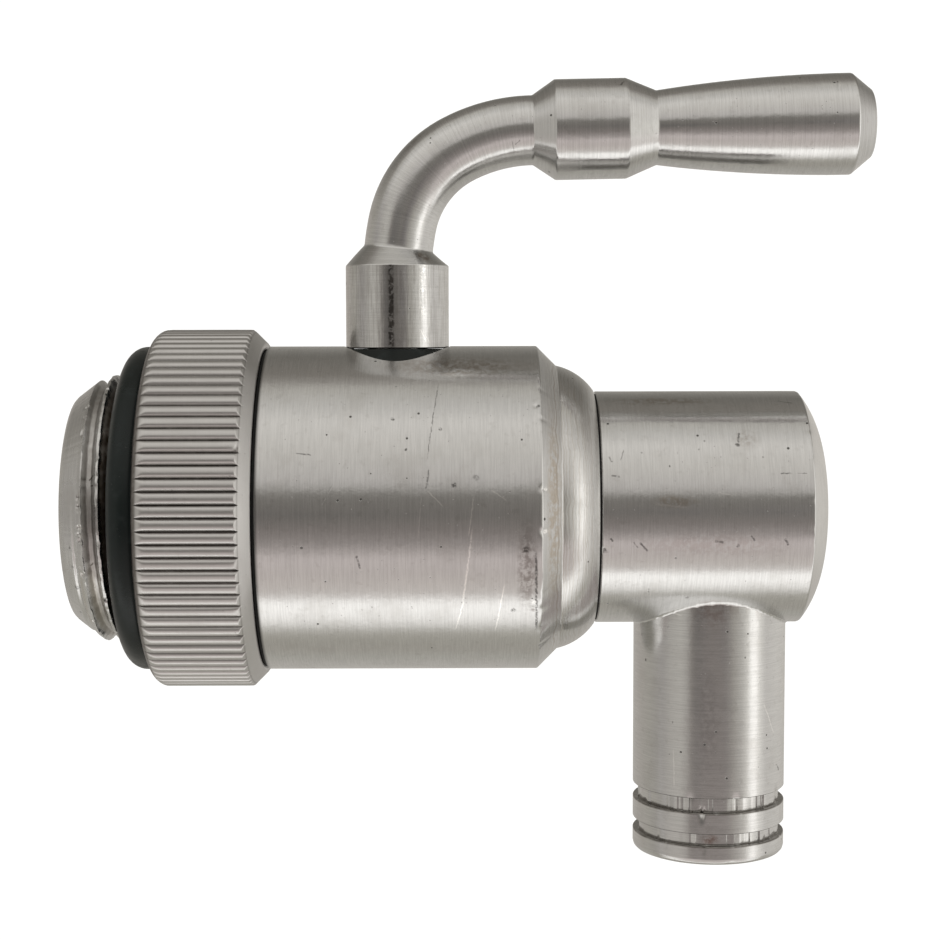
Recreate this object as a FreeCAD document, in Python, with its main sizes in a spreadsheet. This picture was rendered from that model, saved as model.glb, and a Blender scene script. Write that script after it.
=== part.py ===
import FreeCAD, Part
import os
import math
import Sketcher
from FreeCAD import Vector, Placement, Rotation

# Quarter-turn dispensing tap for a bag in box line: a knurled swivel coupling
# with an external 3/4 inch parallel pipe thread, a turned valve body with a
# ball on the flow axis, a vertical stem with a bent lever, and a horizontal
# spout whose outlet tube points down.
#
# Frame: +X along the flow from the inlet to the spout, +Z up (the lever side).
# The origin is on the inlet axis, in the plane where the full thread begins.
# The lever is drawn in its open position, pointing along the flow.

doc = FreeCAD.newDocument("bag_in_box_tap")

# ---------------------------------------------------------------- dimensions
DIMS = [
    # alias, millimetres or degrees, what it is
    ("hub_x", 30.2, "stem and lever axis from the origin"),
    ("flow_radius", 5.0, "flow bore in nipple, body and elbow"),
    # inlet coupling
    ("thread_radius", 13.22, "major radius of the 3/4 inch parallel pipe thread"),
    ("thread_lead", 1.3, "lead-in chamfer, along the axis"),
    ("thread_lead_radius", 11.35, "radius at the end face"),
    ("thread_length", 3.6, "full thread"),
    ("relief_radius", 12.3, "thread relief behind the thread"),
    ("collar_face_x", 6.45, "collar face towards the mating socket"),
    ("recess_floor_x", 7.32, "floor of the recess that the face ring sits in"),
    ("recess_radius", 15.93, "recess outer radius"),
    ("collar_radius", 17.68, "knurled collar over the tooth crests"),
    ("collar_round", 1.4, "rounded front edge of the collar"),
    ("collar_end_x", 17.28, "rear face of the collar"),
    ("collar_bevel", 1.35, "45 degree bevel of the rear edge"),
    ("knurl_count", 90, "teeth of the straight knurl"),
    ("knurl_depth", 0.42, "tooth depth"),
    ("knurl_land", 0.30, "width of a tooth crest"),
    ("coupling_bore", 8.07, "bore that turns on the nipple"),
    ("front_pocket_radius", 10.2, "pocket for the retaining ring"),
    ("front_pocket_floor_x", 2.6, "floor of that pocket"),
    # face ring
    ("face_ring_x", 5.55, "centre plane of the face O-ring"),
    ("face_ring_mean", 14.25, "mean radius of the face O-ring"),
    ("face_ring_section", 1.75, "section radius of the face O-ring"),
    # inlet nipple
    ("nipple_start_x", -0.55, "inlet end of the nipple"),
    ("nipple_radius", 8.0, "journal radius"),
    ("nipple_flange_x", 17.60, "front face of the screwed flange"),
    ("nipple_flange_radius", 12.0, "screwed flange"),
    ("nipple_end_x", 22.28, "inner end, against the seat"),
    ("clip_groove_x", 0.55, "retaining ring groove, inlet side"),
    ("clip_thickness", 1.0, "retaining ring"),
    ("clip_groove_radius", 7.3, "retaining ring groove floor"),
    ("clip_radius", 9.5, "retaining ring outside"),
    ("seal_groove_1_x", 8.2, "first seal groove"),
    ("seal_groove_2_x", 12.4, "second seal groove"),
    ("seal_groove_width", 1.7, "seal groove width"),
    ("seal_groove_radius", 6.75, "seal groove floor"),
    ("swivel_washer_thickness", 0.20, "washer between collar and body"),
    # valve body
    ("body_start_x", 17.53, "front face of the body"),
    ("body_radius", 16.0, "outside radius"),
    ("shoulder_x", 43.9, "start of the shoulder chamfer"),
    ("shoulder_chamfer", 1.95, "45 degree chamfer"),
    ("nose_end_x", 49.5, "end of the rounded nose"),
    ("nose_end_radius", 11.65, "nose radius at its end"),
    ("nose_round", 5.95, "profile radius of the nose"),
    ("chamber_radius", 9.85, "ball chamber"),
    ("body_thread_radius", 12.02, "bore for the screwed flange"),
    ("chamber_start_x", 22.3, "start of the chamber"),
    ("chamber_end_x", 38.1, "seat shoulder"),
    ("socket_start_x", 41.8, "floor of the spout socket"),
    ("socket_radius", 9.02, "spout socket"),
    ("stem_bore", 3.05, "bore for the stem"),
    ("stem_pocket_radius", 4.35, "pocket for the stem flange"),
    ("stem_pocket_top", 11.0, "top of that pocket, above the flow axis"),
    ("seal_pocket_radius", 5.28, "counterbore under the hub"),
    ("seal_pocket_floor", 14.15, "its floor above the flow axis"),
    # ball and seats
    ("ball_radius", 8.0, "ball"),
    ("ball_bore", 4.3, "bore of the ball"),
    ("slot_width", 3.1, "stem slot in the ball, along the flow"),
    ("slot_floor", 6.0, "slot floor above the flow axis"),
    ("seat_outer", 9.8, "seat ring outside"),
    ("seat_inner", 4.9, "seat ring bore"),
    ("seat_clearance", 0.06, "seat face to ball"),
    ("seat_length", 3.6, "seat ring along the axis"),
    # stem
    ("stem_radius", 3.0, "stem journal"),
    ("stem_flange_radius", 4.2, "flange that keeps the stem in"),
    ("stem_flange_bottom", 9.2, "underside of the flange"),
    ("stem_flange_top", 10.7, "top of the flange"),
    ("tang_thickness", 3.0, "tang, along the flow when open"),
    ("tang_width", 5.6, "tang, across the flow when open"),
    ("tang_bottom", 6.1, "lower end of the tang"),
    ("stem_top", 21.8, "upper end of the stem"),
    ("stem_groove_1", 11.35, "lower O-ring groove"),
    ("stem_groove_2", 12.75, "upper O-ring groove"),
    ("stem_groove_width", 1.1, "O-ring groove width"),
    ("stem_groove_radius", 2.1, "O-ring groove floor"),
    # hub seal
    ("seal_top", 15.74, "top of the rubber seal under the hub"),
    ("seal_radius", 5.2, "its radius in the counterbore"),
    ("skirt_slope", 1.17, "flare of the skirt per millimetre down"),
    ("skirt_drop", 2.4, "height of the skirt cone"),
    # lever
    ("hub_radius", 5.08, "lever hub"),
    ("hub_bottom", 15.80, "underside of the hub"),
    ("hub_top", 23.88, "top of the hub cylinder"),
    ("rod_radius", 3.39, "lever rod"),
    ("bend_start", 22.81, "start of the bend above the flow axis"),
    ("bend_radius_1", 25.8, "first arc"),
    ("bend_angle_1", 11.84, "degrees"),
    ("bend_radius_2", 10.52, "second arc"),
    ("bend_angle_2", 50.95, "degrees"),
    ("bend_radius_3", 16.65, "third arc"),
    ("bend_angle_3", 26.18, "degrees"),
    ("grip_cone_1", 2.20, "cone up to the grip barrel"),
    ("grip_barrel_radius", 4.88, "barrel"),
    ("grip_barrel_length", 6.95, "barrel"),
    ("grip_cone_2", 3.0, "cone down to the neck"),
    ("grip_neck_radius", 3.62, "neck"),
    ("grip_flare_length", 17.55, "flare"),
    ("grip_end_radius", 4.93, "end band"),
    ("grip_band_length", 1.5, "end band"),
    ("grip_chamfer_length", 2.0, "end chamfer along the axis"),
    ("grip_face_radius", 3.3, "end face"),
    # spout
    ("spout_start_x", 49.7, "shoulder of the elbow"),
    ("spout_radius", 11.48, "elbow barrel"),
    ("spout_edge_x", 69.65, "edge of the domed end"),
    ("dome_mid_x", 71.68, "where the steep rounding meets the dome"),
    ("dome_mid_radius", 7.18, "its radius"),
    ("dome_round", 10.3, "profile radius of the rounding"),
    ("dome_radius", 34.9, "profile radius of the dome"),
    ("dome_apex_x", 72.42, "apex of the dome"),
    ("spigot_radius", 9.0, "spigot in the body"),
    ("spigot_start_x", 41.9, "inner end of the spigot"),
    ("spigot_groove_x", 45.6, "seal groove in the spigot"),
    ("spigot_groove_width", 1.8, "seal groove"),
    ("spigot_groove_radius", 7.7, "seal groove floor"),
    ("outlet_x", 61.27, "axis of the outlet tube"),
    ("elbow_socket_radius", 7.56, "socket for the outlet tube"),
    ("elbow_socket_top", -6.3, "top of that socket"),
    # outlet tube
    ("tube_radius", 7.54, "outside"),
    ("tube_bore", 5.3, "bore"),
    ("tube_top", -6.35, "upper end"),
    ("tube_bottom", -34.4, "lower end"),
    ("tube_chamfer", 0.45, "chamfer at the lower end"),
    ("tube_groove_radius", 6.96, "floor of the grooves"),
    ("groove_1_top", -27.80, "upper groove"),
    ("groove_1_bottom", -29.26, "upper groove"),
    ("groove_2_top", -31.30, "lower groove"),
    ("groove_2_bottom", -32.52, "lower groove"),
    # grub screw
    ("grub_radius", 1.25, "set screw in the back of the hub"),
    ("grub_height", 19.0, "its axis above the flow axis"),
]

sheet = doc.addObject("Spreadsheet::Sheet", "Dims")
sheet.set("A1", "alias")
sheet.set("B1", "value")
sheet.set("C1", "meaning")
for row, (alias, value, note) in enumerate(DIMS, start=2):
    sheet.set("A%d" % row, alias)
    sheet.set("B%d" % row, repr(value))
    sheet.set("C%d" % row, note)
    sheet.setAlias("B%d" % row, alias)
doc.recompute()


# A length that carries both its number and the expression that gives it, so
# that a sketch is drawn in place and then driven by the sheet.
class Q:
    def __init__(self, number, text):
        self.n = float(number)
        self.s = text

    def __add__(self, other):
        other = q(other)
        return Q(self.n + other.n, "(%s + %s)" % (self.s, other.s))

    def __radd__(self, other):
        return q(other) + self

    def __sub__(self, other):
        other = q(other)
        return Q(self.n - other.n, "(%s - %s)" % (self.s, other.s))

    def __rsub__(self, other):
        return q(other) - self

    def __mul__(self, other):
        other = q(other)
        return Q(self.n * other.n, "(%s * %s)" % (self.s, other.s))

    __rmul__ = __mul__

    def __truediv__(self, other):
        other = q(other)
        return Q(self.n / other.n, "(%s / %s)" % (self.s, other.s))

    def __rtruediv__(self, other):
        return q(other) / self

    def __neg__(self):
        return Q(-self.n, "(0 - %s)" % self.s)


def q(value):
    return value if isinstance(value, Q) else Q(value, "%.6f" % value)


class Sizes:
    pass


D = Sizes()
for alias, value, note in DIMS:
    setattr(D, alias, Q(value, "Dims." + alias))


def origin_plane(body, role):
    for feature in body.Origin.OriginFeatures:
        if feature.Role == role:
            return feature
    raise RuntimeError("no " + role)


def new_body(label):
    body = doc.addObject("PartDesign::Body", label)
    body.Label = label
    return body


def new_sketch(body, name, role, offset=None, offset_expr=None):
    sketch = body.newObject("Sketcher::SketchObject", name)
    sketch.AttachmentSupport = [(origin_plane(body, role), "")]
    sketch.MapMode = "FlatFace"
    if offset is not None:
        sketch.AttachmentOffset = offset
    for path, expr in (offset_expr or {}).items():
        sketch.setExpression("AttachmentOffset." + path, expr)
    return sketch


def place_point(sketch, geo, pos, x, y):
    """Hold one sketch point at x, y from the sketch origin."""
    for kind, value, axis in (("DistanceX", x, -2), ("DistanceY", y, -1)):
        if abs(value.n) < 1e-9:
            sketch.addConstraint(Sketcher.Constraint("PointOnObject", geo, pos, axis))
        elif value.n > 0:
            index = sketch.addConstraint(
                Sketcher.Constraint(kind, -1, 1, geo, pos, value.n))
            sketch.setExpression("Constraints[%d]" % index, value.s)
        else:
            index = sketch.addConstraint(
                Sketcher.Constraint(kind, geo, pos, -1, 1, -value.n))
            sketch.setExpression("Constraints[%d]" % index, (-value).s)


def profile(sketch, points, closed=True):
    """Lines and arcs through points. An entry is (x, y) or (x, y, radius, side):
    the latter starts an arc to the next point, with its centre to the left
    (side +1) or right (side -1) of the chord."""
    points = [(q(p[0]), q(p[1])) + tuple(p[2:]) for p in points]
    count = len(points)
    spans = count if closed else count - 1
    ends = []
    for i in range(spans):
        a = points[i]
        b = points[(i + 1) % count]
        va = Vector(a[0].n, a[1].n, 0)
        vb = Vector(b[0].n, b[1].n, 0)
        if len(a) == 2:
            geo = sketch.addGeometry(Part.LineSegment(va, vb), False)
            ends.append((geo, 1, 2))
        else:
            radius, side = q(a[2]), a[3]
            chord = vb - va
            half = chord.Length / 2.0
            rise = math.sqrt(max(radius.n ** 2 - half ** 2, 0.0))
            left = Vector(-chord.y, chord.x, 0).normalize()
            centre = (va + vb) * 0.5 + left * (rise * side)
            circle = Part.Circle(centre, Vector(0, 0, 1), radius.n)
            ang_a = math.atan2(va.y - centre.y, va.x - centre.x)
            ang_b = math.atan2(vb.y - centre.y, vb.x - centre.x)
            if side > 0:
                first, last = ang_a, ang_b
            else:
                first, last = ang_b, ang_a
            while last < first:
                last += 2 * math.pi
            geo = sketch.addGeometry(Part.ArcOfCircle(circle, first, last), False)
            ends.append((geo, 1, 2) if side > 0 else (geo, 2, 1))
            index = sketch.addConstraint(Sketcher.Constraint("Radius", geo, radius.n))
            sketch.setExpression("Constraints[%d]" % index, radius.s)
    for i in range(spans):
        j = (i + 1) % len(ends)
        if j == 0 and not closed:
            break
        sketch.addConstraint(Sketcher.Constraint(
            "Coincident", ends[i][0], ends[i][2], ends[j][0], ends[j][1]))
    for i in range(count):
        if i < len(ends):
            geo, pos = ends[i][0], ends[i][1]
        else:
            geo, pos = ends[-1][0], ends[-1][2]
        place_point(sketch, geo, pos, points[i][0], points[i][1])
    return ends


def circle_sketch(sketch, x, y, radius):
    x, y, radius = q(x), q(y), q(radius)
    geo = sketch.addGeometry(
        Part.Circle(Vector(x.n, y.n, 0), Vector(0, 0, 1), radius.n), False)
    index = sketch.addConstraint(Sketcher.Constraint("Radius", geo, radius.n))
    sketch.setExpression("Constraints[%d]" % index, radius.s)
    if abs(x.n) < 1e-9 and abs(y.n) < 1e-9:
        sketch.addConstraint(Sketcher.Constraint("Coincident", geo, 3, -1, 1))
    else:
        place_point(sketch, geo, 3, x, y)


def revolve(body, name, role, points, axis):
    sketch = new_sketch(body, name + "_profile", role)
    profile(sketch, points)
    feature = body.newObject("PartDesign::Revolution", name)
    feature.Profile = sketch
    feature.ReferenceAxis = (sketch, [axis])
    feature.Angle = 360.0
    doc.recompute()
    return feature


def round_pocket(body, name, x, level, radius, depth, up):
    """A round pocket along Z from the given level, cut upwards or downwards."""
    level, depth = q(level), q(depth)
    sketch = new_sketch(
        body, name + "_circle", "XY_Plane",
        Placement(Vector(0, 0, level.n), Rotation()), {"Base.z": level.s})
    circle_sketch(sketch, x, 0.0, radius)
    before = body.Shape.Volume
    pocket = body.newObject("PartDesign::Pocket", name)
    pocket.Profile = sketch
    pocket.Type = "Length"
    pocket.Length = depth.n
    pocket.setExpression("Length", depth.s)
    pocket.Reversed = bool(up)
    doc.recompute()
    if not pocket.Shape.Volume < before - 0.01:
        raise RuntimeError(name + " cuts nothing")
    return pocket


NODES = []


def keep(obj):
    NODES.append(obj)
    return obj


# ------------------------------------------------------------ inlet coupling
# One turned piece: male thread, relief, recess for the face ring and the
# knurled collar. It turns on the nipple.
coupling = keep(new_body("inlet_coupling"))
revolve(coupling, "coupling_turning", "XY_Plane", [
    (-D.thread_lead, D.front_pocket_radius),
    (-D.thread_lead, D.thread_lead_radius),
    (0.0, D.thread_radius),
    (D.thread_length, D.thread_radius),
    (D.thread_length + 0.45, D.relief_radius),
    (D.recess_floor_x, D.relief_radius),
    (D.recess_floor_x, D.recess_radius),
    (D.collar_face_x, D.recess_radius),
    (D.collar_face_x, D.collar_radius - D.collar_round, D.collar_round, -1),
    (D.collar_face_x + D.collar_round, D.collar_radius),
    (D.collar_end_x - D.collar_bevel, D.collar_radius),
    (D.collar_end_x, D.collar_radius - D.collar_bevel),
    (D.collar_end_x, D.coupling_bore),
    (D.front_pocket_floor_x, D.coupling_bore),
    (D.front_pocket_floor_x, D.front_pocket_radius),
], "H_Axis")

# Straight knurl: one V groove, repeated round the collar.
pitch = 2 * math.pi * D.collar_radius / D.knurl_count
top_half = (pitch - D.knurl_land) / 2
over = 0.35
knurl_sketch = new_sketch(
    coupling, "knurl_groove_profile", "YZ_Plane",
    Placement(Vector(0, 0, D.collar_face_x.n - 0.5), Rotation()),
    {"Base.z": (D.collar_face_x - 0.5).s})
flare = top_half * (over / D.knurl_depth + 1)
profile(knurl_sketch, [
    (0.0, D.collar_radius - D.knurl_depth),
    (flare, D.collar_radius + over),
    (-flare, D.collar_radius + over),
])
before = coupling.Shape.Volume
knurl = coupling.newObject("PartDesign::Pocket", "knurl_groove")
knurl.Profile = knurl_sketch
knurl.Type = "Length"
knurl.Length = (D.collar_end_x - D.collar_face_x + 1.0).n
knurl.setExpression("Length", (D.collar_end_x - D.collar_face_x + 1.0).s)
knurl.Reversed = True
doc.recompute()
if not knurl.Shape.Volume < before - 0.5:
    raise RuntimeError("the knurl groove cuts nothing")
pattern = coupling.newObject("PartDesign::PolarPattern", "knurl_ring")
pattern.Originals = [knurl]
pattern.Axis = (knurl_sketch, ["N_Axis"])
pattern.Angle = 360.0
pattern.Occurrences = int(D.knurl_count.n)
pattern.setExpression("Occurrences", "Dims.knurl_count")
coupling.Tip = pattern
doc.recompute()
if not pattern.Shape.Volume < knurl.Shape.Volume - 40.0:
    raise RuntimeError("the knurl pattern did not count")

# The thick rubber ring that seals the collar on the mating socket.
face_ring = doc.addObject("Part::Torus", "inlet_face_oring")
face_ring.Label = "inlet_face_oring"
face_ring.Placement = Placement(Vector(D.face_ring_x.n, 0, 0),
                                Rotation(Vector(0, 1, 0), 90))
face_ring.setExpression("Placement.Base.x", D.face_ring_x.s)
face_ring.setExpression("Radius1", D.face_ring_mean.s)
face_ring.setExpression("Radius2", D.face_ring_section.s)
keep(face_ring)

# -------------------------------------------------------------- inlet nipple
# Screwed into the body: it carries the coupling and holds the seats in.
nipple = keep(new_body("inlet_nipple"))
g1, g2 = D.seal_groove_1_x, D.seal_groove_2_x
gw = D.seal_groove_width
revolve(nipple, "nipple_turning", "XY_Plane", [
    (D.nipple_start_x, D.flow_radius + 0.4),
    (D.nipple_start_x, D.nipple_radius - 0.4),
    (D.nipple_start_x + 0.4, D.nipple_radius),
    (D.clip_groove_x, D.nipple_radius),
    (D.clip_groove_x, D.clip_groove_radius),
    (D.clip_groove_x + D.clip_thickness + 0.1, D.clip_groove_radius),
    (D.clip_groove_x + D.clip_thickness + 0.1, D.nipple_radius),
    (g1, D.nipple_radius),
    (g1, D.seal_groove_radius),
    (g1 + gw, D.seal_groove_radius),
    (g1 + gw, D.nipple_radius),
    (g2, D.nipple_radius),
    (g2, D.seal_groove_radius),
    (g2 + gw, D.seal_groove_radius),
    (g2 + gw, D.nipple_radius),
    (D.nipple_flange_x, D.nipple_radius),
    (D.nipple_flange_x, D.nipple_flange_radius - 0.3),
    (D.nipple_flange_x + 0.3, D.nipple_flange_radius),
    (D.nipple_end_x - 1.8, D.nipple_flange_radius),
    (D.nipple_end_x - 1.8, D.nipple_flange_radius - 1.0),
    (D.nipple_end_x, D.nipple_flange_radius - 1.0),
    (D.nipple_end_x, D.flow_radius),
    (D.nipple_start_x + 0.4, D.flow_radius),
], "H_Axis")


def o_ring(label, x, mean, section, z=None):
    """A rubber ring on the flow axis, or on the stem axis when z is given."""
    ring = doc.addObject("Part::Torus", label)
    ring.Label = label
    x, mean, section = q(x), q(mean), q(section)
    if z is None:
        ring.Placement = Placement(Vector(x.n, 0, 0), Rotation(Vector(0, 1, 0), 90))
    else:
        z = q(z)
        ring.Placement = Placement(Vector(x.n, 0, z.n), Rotation())
        ring.setExpression("Placement.Base.z", z.s)
    ring.setExpression("Placement.Base.x", x.s)
    ring.setExpression("Radius1", mean.s)
    ring.setExpression("Radius2", section.s)
    return keep(ring)


journal_section = (D.coupling_bore - 0.03 - D.seal_groove_radius) / 2
journal_mean = D.seal_groove_radius + journal_section
o_ring("coupling_oring_front", g1 + gw / 2, journal_mean, journal_section)
o_ring("coupling_oring_rear", g2 + gw / 2, journal_mean, journal_section)
o_ring("nipple_oring", D.nipple_end_x - 0.9, D.nipple_flange_radius - 0.5, 0.5)


def ring_cut(label, x, length, outer, inner):
    """A flat ring on the flow axis, cut from a disc."""
    x, length, outer, inner = q(x), q(length), q(outer), q(inner)
    disc = doc.addObject("Part::Cylinder", label + "_disc")
    hole = doc.addObject("Part::Cylinder", label + "_hole")
    for obj, radius, start, size in (
            (disc, outer, x, length), (hole, inner, x - 1.0, length + 2.0)):
        obj.Placement = Placement(Vector(start.n, 0, 0), Rotation(Vector(0, 1, 0), 90))
        obj.setExpression("Placement.Base.x", start.s)
        obj.setExpression("Radius", radius.s)
        obj.setExpression("Height", size.s)
    ring = doc.addObject("Part::Cut", label)
    ring.Label = label
    ring.Base = disc
    ring.Tool = hole
    return ring


# Retaining ring with the gap it is sprung open by, and the washer under it.
clip_ring = ring_cut("clip_full", D.clip_groove_x + 0.05, D.clip_thickness,
                     D.clip_radius, D.clip_groove_radius)
clip_gap = doc.addObject("Part::Box", "clip_gap")
clip_gap.setExpression("Length", "Dims.clip_thickness + 2")
clip_gap.setExpression("Width", "2 * Dims.clip_groove_radius * 0.62")
clip_gap.setExpression("Height", "Dims.clip_radius * 2")
clip_gap.setExpression("Placement.Base.x", "Dims.clip_groove_x - 1")
clip_gap.setExpression("Placement.Base.y", "0 - Dims.clip_groove_radius * 0.62")
clip_gap.setExpression("Placement.Base.z", "0 - Dims.clip_radius * 2")
clip = doc.addObject("Part::Cut", "coupling_circlip")
clip.Label = "coupling_circlip"
clip.Base = clip_ring
clip.Tool = clip_gap
keep(clip)
keep(ring_cut("coupling_thrust_washer", D.clip_groove_x + D.clip_thickness + 0.10,
              D.front_pocket_floor_x - D.clip_groove_x - D.clip_thickness - 0.16,
              D.front_pocket_radius - 0.15, D.nipple_radius + 0.02))

# Thin black washer in the seam between the collar and the body.
keep(ring_cut("swivel_washer", D.body_start_x - D.swivel_washer_thickness,
              D.swivel_washer_thickness, D.body_radius - 0.25,
              D.nipple_radius + 0.1))

# ---------------------------------------------------------------- valve body
body = keep(new_body("valve_body"))
revolve(body, "body_turning", "XY_Plane", [
    (D.body_start_x, D.body_thread_radius + 0.3),
    (D.body_start_x, D.body_radius - 0.12),
    (D.body_start_x + 0.12, D.body_radius),
    (D.shoulder_x, D.body_radius),
    (D.shoulder_x + D.shoulder_chamfer, D.body_radius - D.shoulder_chamfer,
     D.nose_round, -1),
    (D.nose_end_x, D.nose_end_radius),
    (D.nose_end_x, D.socket_radius),
    (D.socket_start_x, D.socket_radius),
    (D.socket_start_x, D.flow_radius),
    (D.chamber_end_x, D.flow_radius),
    (D.chamber_end_x, D.chamber_radius),
    (D.chamber_start_x, D.chamber_radius),
    (D.chamber_start_x, D.body_thread_radius),
    (D.body_start_x + 0.3, D.body_thread_radius),
], "H_Axis")
round_pocket(body, "stem_bore_cut", D.hub_x, 0.0, D.stem_bore, 20.0, True)
round_pocket(body, "stem_pocket", D.hub_x, 0.0, D.stem_pocket_radius,
             D.stem_pocket_top, True)
round_pocket(body, "seal_counterbore", D.hub_x, D.seal_pocket_floor,
             D.seal_pocket_radius, 5.0, True)

# ------------------------------------------------------------ ball and seats
ball_sphere = doc.addObject("Part::Sphere", "ball_sphere")
ball_sphere.setExpression("Radius", "Dims.ball_radius")
ball_sphere.setExpression("Placement.Base.x", "Dims.hub_x")
ball_hole = doc.addObject("Part::Cylinder", "ball_hole")
ball_hole.Placement = Placement(Vector(0, 0, 0), Rotation(Vector(0, 1, 0), 90))
ball_hole.setExpression("Radius", "Dims.ball_bore")
ball_hole.setExpression("Height", "Dims.ball_radius * 4")
ball_hole.setExpression("Placement.Base.x", "Dims.hub_x - Dims.ball_radius * 2")
ball_slot = doc.addObject("Part::Box", "ball_slot")
ball_slot.setExpression("Length", "Dims.slot_width")
ball_slot.setExpression("Width", "Dims.ball_radius * 3")
ball_slot.setExpression("Height", "Dims.ball_radius")
ball_slot.setExpression("Placement.Base.x", "Dims.hub_x - Dims.slot_width / 2")
ball_slot.setExpression("Placement.Base.y", "0 - Dims.ball_radius * 1.5")
ball_slot.setExpression("Placement.Base.z", "Dims.slot_floor")
ball_bored = doc.addObject("Part::Cut", "ball_bored")
ball_bored.Base = ball_sphere
ball_bored.Tool = ball_hole
ball = doc.addObject("Part::Cut", "ball")
ball.Label = "ball"
ball.Base = ball_bored
ball.Tool = ball_slot
keep(ball)


def seat(label, side):
    """A plastic seat ring with a hollow face that fits the ball."""
    outer_x = D.hub_x + side * (D.chamber_end_x - D.hub_x)
    start = outer_x if side < 0 else outer_x - D.seat_length
    start = start + 0.0
    blank = ring_cut(label + "_blank", start, D.seat_length, D.seat_outer, D.seat_inner)
    hollow = doc.addObject("Part::Sphere", label + "_hollow")
    hollow.setExpression("Radius", (D.ball_radius + D.seat_clearance).s)
    hollow.setExpression("Placement.Base.x", "Dims.hub_x")
    ring = doc.addObject("Part::Cut", label)
    ring.Label = label
    ring.Base = blank
    ring.Tool = hollow
    return keep(ring)


seat("inlet_seat", -1)
seat("outlet_seat", 1)

# ---------------------------------------------------------------------- stem
# Turned, with a tang milled at its lower end that turns the ball, a flange
# that can't blow out, and two grooves for rubber rings.
stem = keep(new_body("stem"))
stem.Placement = Placement(Vector(D.hub_x.n, 0, 0), Rotation())
stem.setExpression("Placement.Base.x", "Dims.hub_x")
s1, s2, sw = D.stem_groove_1, D.stem_groove_2, D.stem_groove_width
revolve(stem, "stem_turning", "XZ_Plane", [
    (0.0, D.stem_flange_bottom),
    (D.stem_flange_radius, D.stem_flange_bottom),
    (D.stem_flange_radius, D.stem_flange_top),
    (D.stem_radius, D.stem_flange_top),
    (D.stem_radius, s1),
    (D.stem_groove_radius, s1),
    (D.stem_groove_radius, s1 + sw),
    (D.stem_radius, s1 + sw),
    (D.stem_radius, s2),
    (D.stem_groove_radius, s2),
    (D.stem_groove_radius, s2 + sw),
    (D.stem_radius, s2 + sw),
    (D.stem_radius, D.stem_top - 0.4),
    (D.stem_radius - 0.4, D.stem_top),
    (0.0, D.stem_top),
], "V_Axis")
tang_sketch = new_sketch(
    stem, "tang_profile", "XY_Plane",
    Placement(Vector(0, 0, D.stem_flange_bottom.n), Rotation()),
    {"Base.z": D.stem_flange_bottom.s})
tx, ty = D.tang_thickness / 2, D.tang_width / 2
profile(tang_sketch, [(-tx, -ty), (tx, -ty), (tx, ty), (-tx, ty)])
tang = stem.newObject("PartDesign::Pad", "tang")
tang.Profile = tang_sketch
tang.Type = "Length"
tang.Length = (D.stem_flange_bottom - D.tang_bottom).n
tang.setExpression("Length", (D.stem_flange_bottom - D.tang_bottom).s)
tang.Reversed = True
doc.recompute()
if stem.Shape.BoundBox.ZMin > D.tang_bottom.n + 0.01:
    raise RuntimeError("the tang points the wrong way")
# A flat for the set screw, on the back of the upper end.
flat_sketch = new_sketch(
    stem, "flat_profile", "XY_Plane",
    Placement(Vector(0, 0, D.grub_height.n - 1.6), Rotation()),
    {"Base.z": (D.grub_height - 1.6).s})
profile(flat_sketch, [(-4.0, D.stem_radius - 0.5), (4.0, D.stem_radius - 0.5),
                      (4.0, D.stem_radius + 1.0), (-4.0, D.stem_radius + 1.0)])
before = stem.Shape.Volume
flat = stem.newObject("PartDesign::Pocket", "set_screw_flat")
flat.Profile = flat_sketch
flat.Type = "Length"
flat.Length = 5.0
flat.Reversed = True
doc.recompute()
if not flat.Shape.Volume < before - 0.5:
    raise RuntimeError("the flat cuts nothing")

stem_section = (D.stem_bore - 0.02 - D.stem_groove_radius) / 2
stem_mean = D.stem_groove_radius + stem_section
o_ring("stem_oring_lower", D.hub_x, stem_mean, stem_section, s1 + sw / 2)
o_ring("stem_oring_upper", D.hub_x, stem_mean, stem_section, s2 + sw / 2)


def flat_ring_z(label, z, height, outer, inner):
    z, height, outer, inner = q(z), q(height), q(outer), q(inner)
    disc = doc.addObject("Part::Cylinder", label + "_disc")
    hole = doc.addObject("Part::Cylinder", label + "_hole")
    for obj, radius, start, size in (
            (disc, outer, z, height), (hole, inner, z - 1.0, height + 2.0)):
        obj.setExpression("Placement.Base.x", "Dims.hub_x")
        obj.Placement = Placement(Vector(D.hub_x.n, 0, start.n), Rotation())
        obj.setExpression("Placement.Base.z", start.s)
        obj.setExpression("Radius", radius.s)
        obj.setExpression("Height", size.s)
    ring = doc.addObject("Part::Cut", label)
    ring.Label = label
    ring.Base = disc
    ring.Tool = hole
    return ring


keep(flat_ring_z("stem_thrust_washer", D.stem_flange_top + 0.02,
                 D.stem_pocket_top - D.stem_flange_top - 0.04,
                 D.stem_flange_radius, D.stem_radius + 0.03))

# ------------------------------------------------------------------ hub seal
# Black rubber: a ring in the counterbore and a skirt that flares over the
# edge of the counterbore and lies on the cylinder of the body, so that it
# shows below the hub at the front and the back only.
seal_ring = flat_ring_z("seal_ring", D.seal_pocket_floor + 0.02,
                        D.seal_top - D.seal_pocket_floor - 0.02,
                        D.seal_radius, D.stem_radius + 0.08)
skirt_cone = doc.addObject("Part::Cone", "skirt_cone")
skirt_cone.Placement = Placement(Vector(D.hub_x.n, 0, D.seal_top.n - D.skirt_drop.n),
                                 Rotation())
skirt_cone.setExpression("Placement.Base.x", "Dims.hub_x")
skirt_cone.setExpression("Placement.Base.z", "Dims.seal_top - Dims.skirt_drop")
skirt_cone.setExpression("Radius1", "Dims.seal_radius + Dims.skirt_drop * Dims.skirt_slope")
skirt_cone.setExpression("Radius2", "Dims.seal_radius")
skirt_cone.setExpression("Height", "Dims.skirt_drop")
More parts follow.
